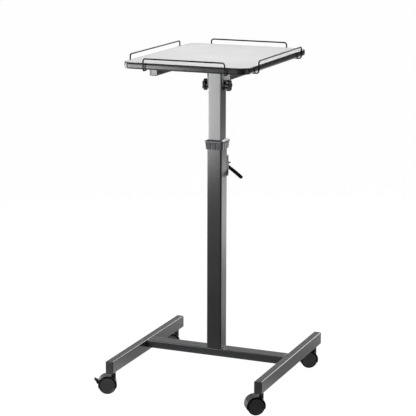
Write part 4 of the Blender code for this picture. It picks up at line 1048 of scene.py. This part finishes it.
studio = {
    "floorSize": 40.0, "floorDrop": 0.0001, "floorColour": grey(0.40), "floorFade": 0.99,
    "floorClouds": 1.5, "floorRoughness": 0.9, "floorWhite": 0.86, "floorShine": 1.14,
    "worldGlow": 0.12, "skyMiddle": (-0.6, 0.8, 0.0), "skyEdge": (0.55, 0.90, 0.08, 0.46),
    "patchMiddle": (0.15, 0.89, 0.42), "patchEdge": (0.935, 0.985, 0.0, 5.5),
    "sideMiddle": (1.0, 0.0, 0.0), "sideEdge": (0.86, 0.96, 0.0, 0.6),
    "glowFront": (-0.35, -0.10, 0.06, 0.92), "glowUnder": (-0.08, 0.12, 0.0, 0.40),
    "glowBehind": (0.3, 0.9, 0.0, 0.45), "glowFar": (1.1, 2.2, 0.0, 1.15), "glowEnd": (2.9, 4.3, 1.0, 0.12),
    "glowSide": (-0.1, 0.4, 1.20, 0.85), "glowSlant": 0.415, "glowRight": (0.45, 0.90, 1.0, 0.25),
    "panelSlope": 0.32, "panelEdge": (0.0, 0.25), "panelNear": (0.35, 0.80, 0.0, 1.1)}


def makeFloor():
    # white to the camera; mirror rays see a pale floor with darker stretches and a panel on the right
    shape = bmesh.new()
    bmesh.ops.create_grid(shape, x_segments=1, y_segments=1, size=studio["floorSize"] / 2)
    floor = linked("floor", meshOf(shape, "floor"))
    floor.location = (middle.x, middle.y, cadBox[0].z - studio["floorDrop"])
    finish = Finish("floorPaper", roughness=studio["floorRoughness"])
    pale = studio["floorColour"]
    clouds = finish.noise(studio["floorClouds"]).ramp(0.3, 0.7)
    finish.paint(colour=finish.mix(clouds, pale, brighter(pale, studio["floorFade"], 0)))
    across, along = (finish.node("ShaderNodeSeparateXYZ", None, {"Vector": finish.spot}, axis)
                     for axis in "XY")
    glow = along.ramp(*studio["glowFront"]) - along.ramp(*studio["glowUnder"])
    glow = glow * across.ramp(*studio["glowSide"])
    glow = glow + along.ramp(*studio["glowBehind"]) + along.ramp(*studio["glowFar"])
    right = (across - along * studio["glowSlant"]).ramp(*studio["glowRight"])
    panel = (across * studio["panelSlope"] - abs(along)).ramp(*studio["panelEdge"])
    glow = glow * along.ramp(*studio["glowEnd"]) * right + panel * across.ramp(*studio["panelNear"])
    camera, glass, mirror = (finish.ray(kind) for kind in ("Camera", "Transmission", "Glossy"))
    strength = camera * studio["floorShine"] + mirror * glow
    shine = finish.node("ShaderNodeEmission", None, {"Color": (1, 1, 1), "Strength": strength})
    paper = Value(finish, finish.shader.outputs[0])
    seen = camera * studio["floorWhite"] + mirror + glass
    blend = finish.node("ShaderNodeMixShader", None, {0: seen, 1: paper, 2: shine})
    finish.feed(finish.tree.nodes["Material Output"], {"Surface": blend})
    floor.data.materials.append(finish.material)


def makeWorld():
    # the air lights evenly; mirrors see a pale patch of sky low behind, a small bright one and a panel
    world = bpy.data.worlds.new("studioAir")
    bpy.context.scene.world = world
    world.use_nodes = True
    air = Nodes(world.node_tree)
    direction = air.node("ShaderNodeTexCoord", output="Generated")
    camera, glass, mirror = (air.ray(kind) for kind in ("Camera", "Transmission", "Glossy"))
    sky, patch, side = (air.facing(direction, studio[key + "Middle"]).ramp(*studio[key + "Edge"])
                        for key in ("sky", "patch", "side"))
    sky = sky + patch + side
    glow = mirror * sky + (1 - mirror) * studio["worldGlow"]
    glow = camera.atLeast(glass).atLeast(glow)
    air.feed(air.tree.nodes["Background"], {"Color": (1, 1, 1), "Strength": glow})


lamps = {
    "keyBox": {"spot": (-0.97, -1.22, 0.77), "aim": (0, 0, 0.77), "size": (0.96, 0.73), "power": 21},
    "leftBox": {"spot": (-1.70, -0.15, 0.75), "aim": (0, 0, 0.75), "size": (0.80, 0.90), "power": 16},
    "topBox": {"spot": (-0.05, 0.00, 2.10), "aim": (0, 0, 1.0), "size": (0.80, 0.80), "power": 14,
               "mirrored": False},
    "backFill": {"spot": (-1.20, 2.20, 1.20), "aim": (0, 0, 0.6), "size": (1.2, 1.2), "power": 26,
                 "mirrored": False},
    "frontFill": {"spot": (-0.80, -2.20, 1.60), "aim": (0, 0, 0.9), "size": (1.2, 1.0), "power": 8,
                  "mirrored": False},
}


def makeLamp(name, settings):
    lamp = bpy.data.lights.new(name, "AREA")
    lamp.shape = "RECTANGLE"
    lamp.size, lamp.size_y = settings["size"]
    lamp.energy = settings["power"]
    made = linked(name, lamp)
    made.location = middle + Vector(settings["spot"])
    line = middle + Vector(settings["aim"]) - made.location
    made.rotation_euler = line.to_track_quat("-Z", "Y").to_euler()
    made.visible_glossy = settings.get("mirrored", True)
    made.visible_camera = False


view = {"azimuth": 22.58, "elevation": 12.61, "roll": 0.10, "lens": 139.07, "sensor": 36,
        "distance": 5.14196, "aim": (-0.03080, 0, 0.56884), "farthest": 100}


def makeCamera():
    azimuth, elevation, roll = (math.radians(view[key]) for key in ("azimuth", "elevation", "roll"))
    level = math.cos(elevation)
    back = Vector((math.sin(azimuth) * level, -math.cos(azimuth) * level, math.sin(elevation)))
    right = (-back).cross(Vector((0, 0, 1))).normalized()
    up = right.cross(-back)
    sideways = right * math.cos(roll) + up * math.sin(roll)
    upwards = up * math.cos(roll) - right * math.sin(roll)
    eye = linked("camera", bpy.data.cameras.new("camera"))
    turn = Matrix((sideways, upwards, back)).transposed().to_4x4()
    eye.matrix_world = Matrix.Translation(middle + Vector(view["aim"]) + back * view["distance"]) @ turn
    eye.data.sensor_width = view["sensor"]
    eye.data.lens = view["lens"]
    eye.data.clip_end = view["farthest"]
    bpy.context.scene.camera = eye


makeFloor()
makeWorld()
for name, settings in lamps.items():
    makeLamp(name, settings)
makeCamera()
bpy.context.scene.view_settings.view_transform = "Standard"
print("studio made")
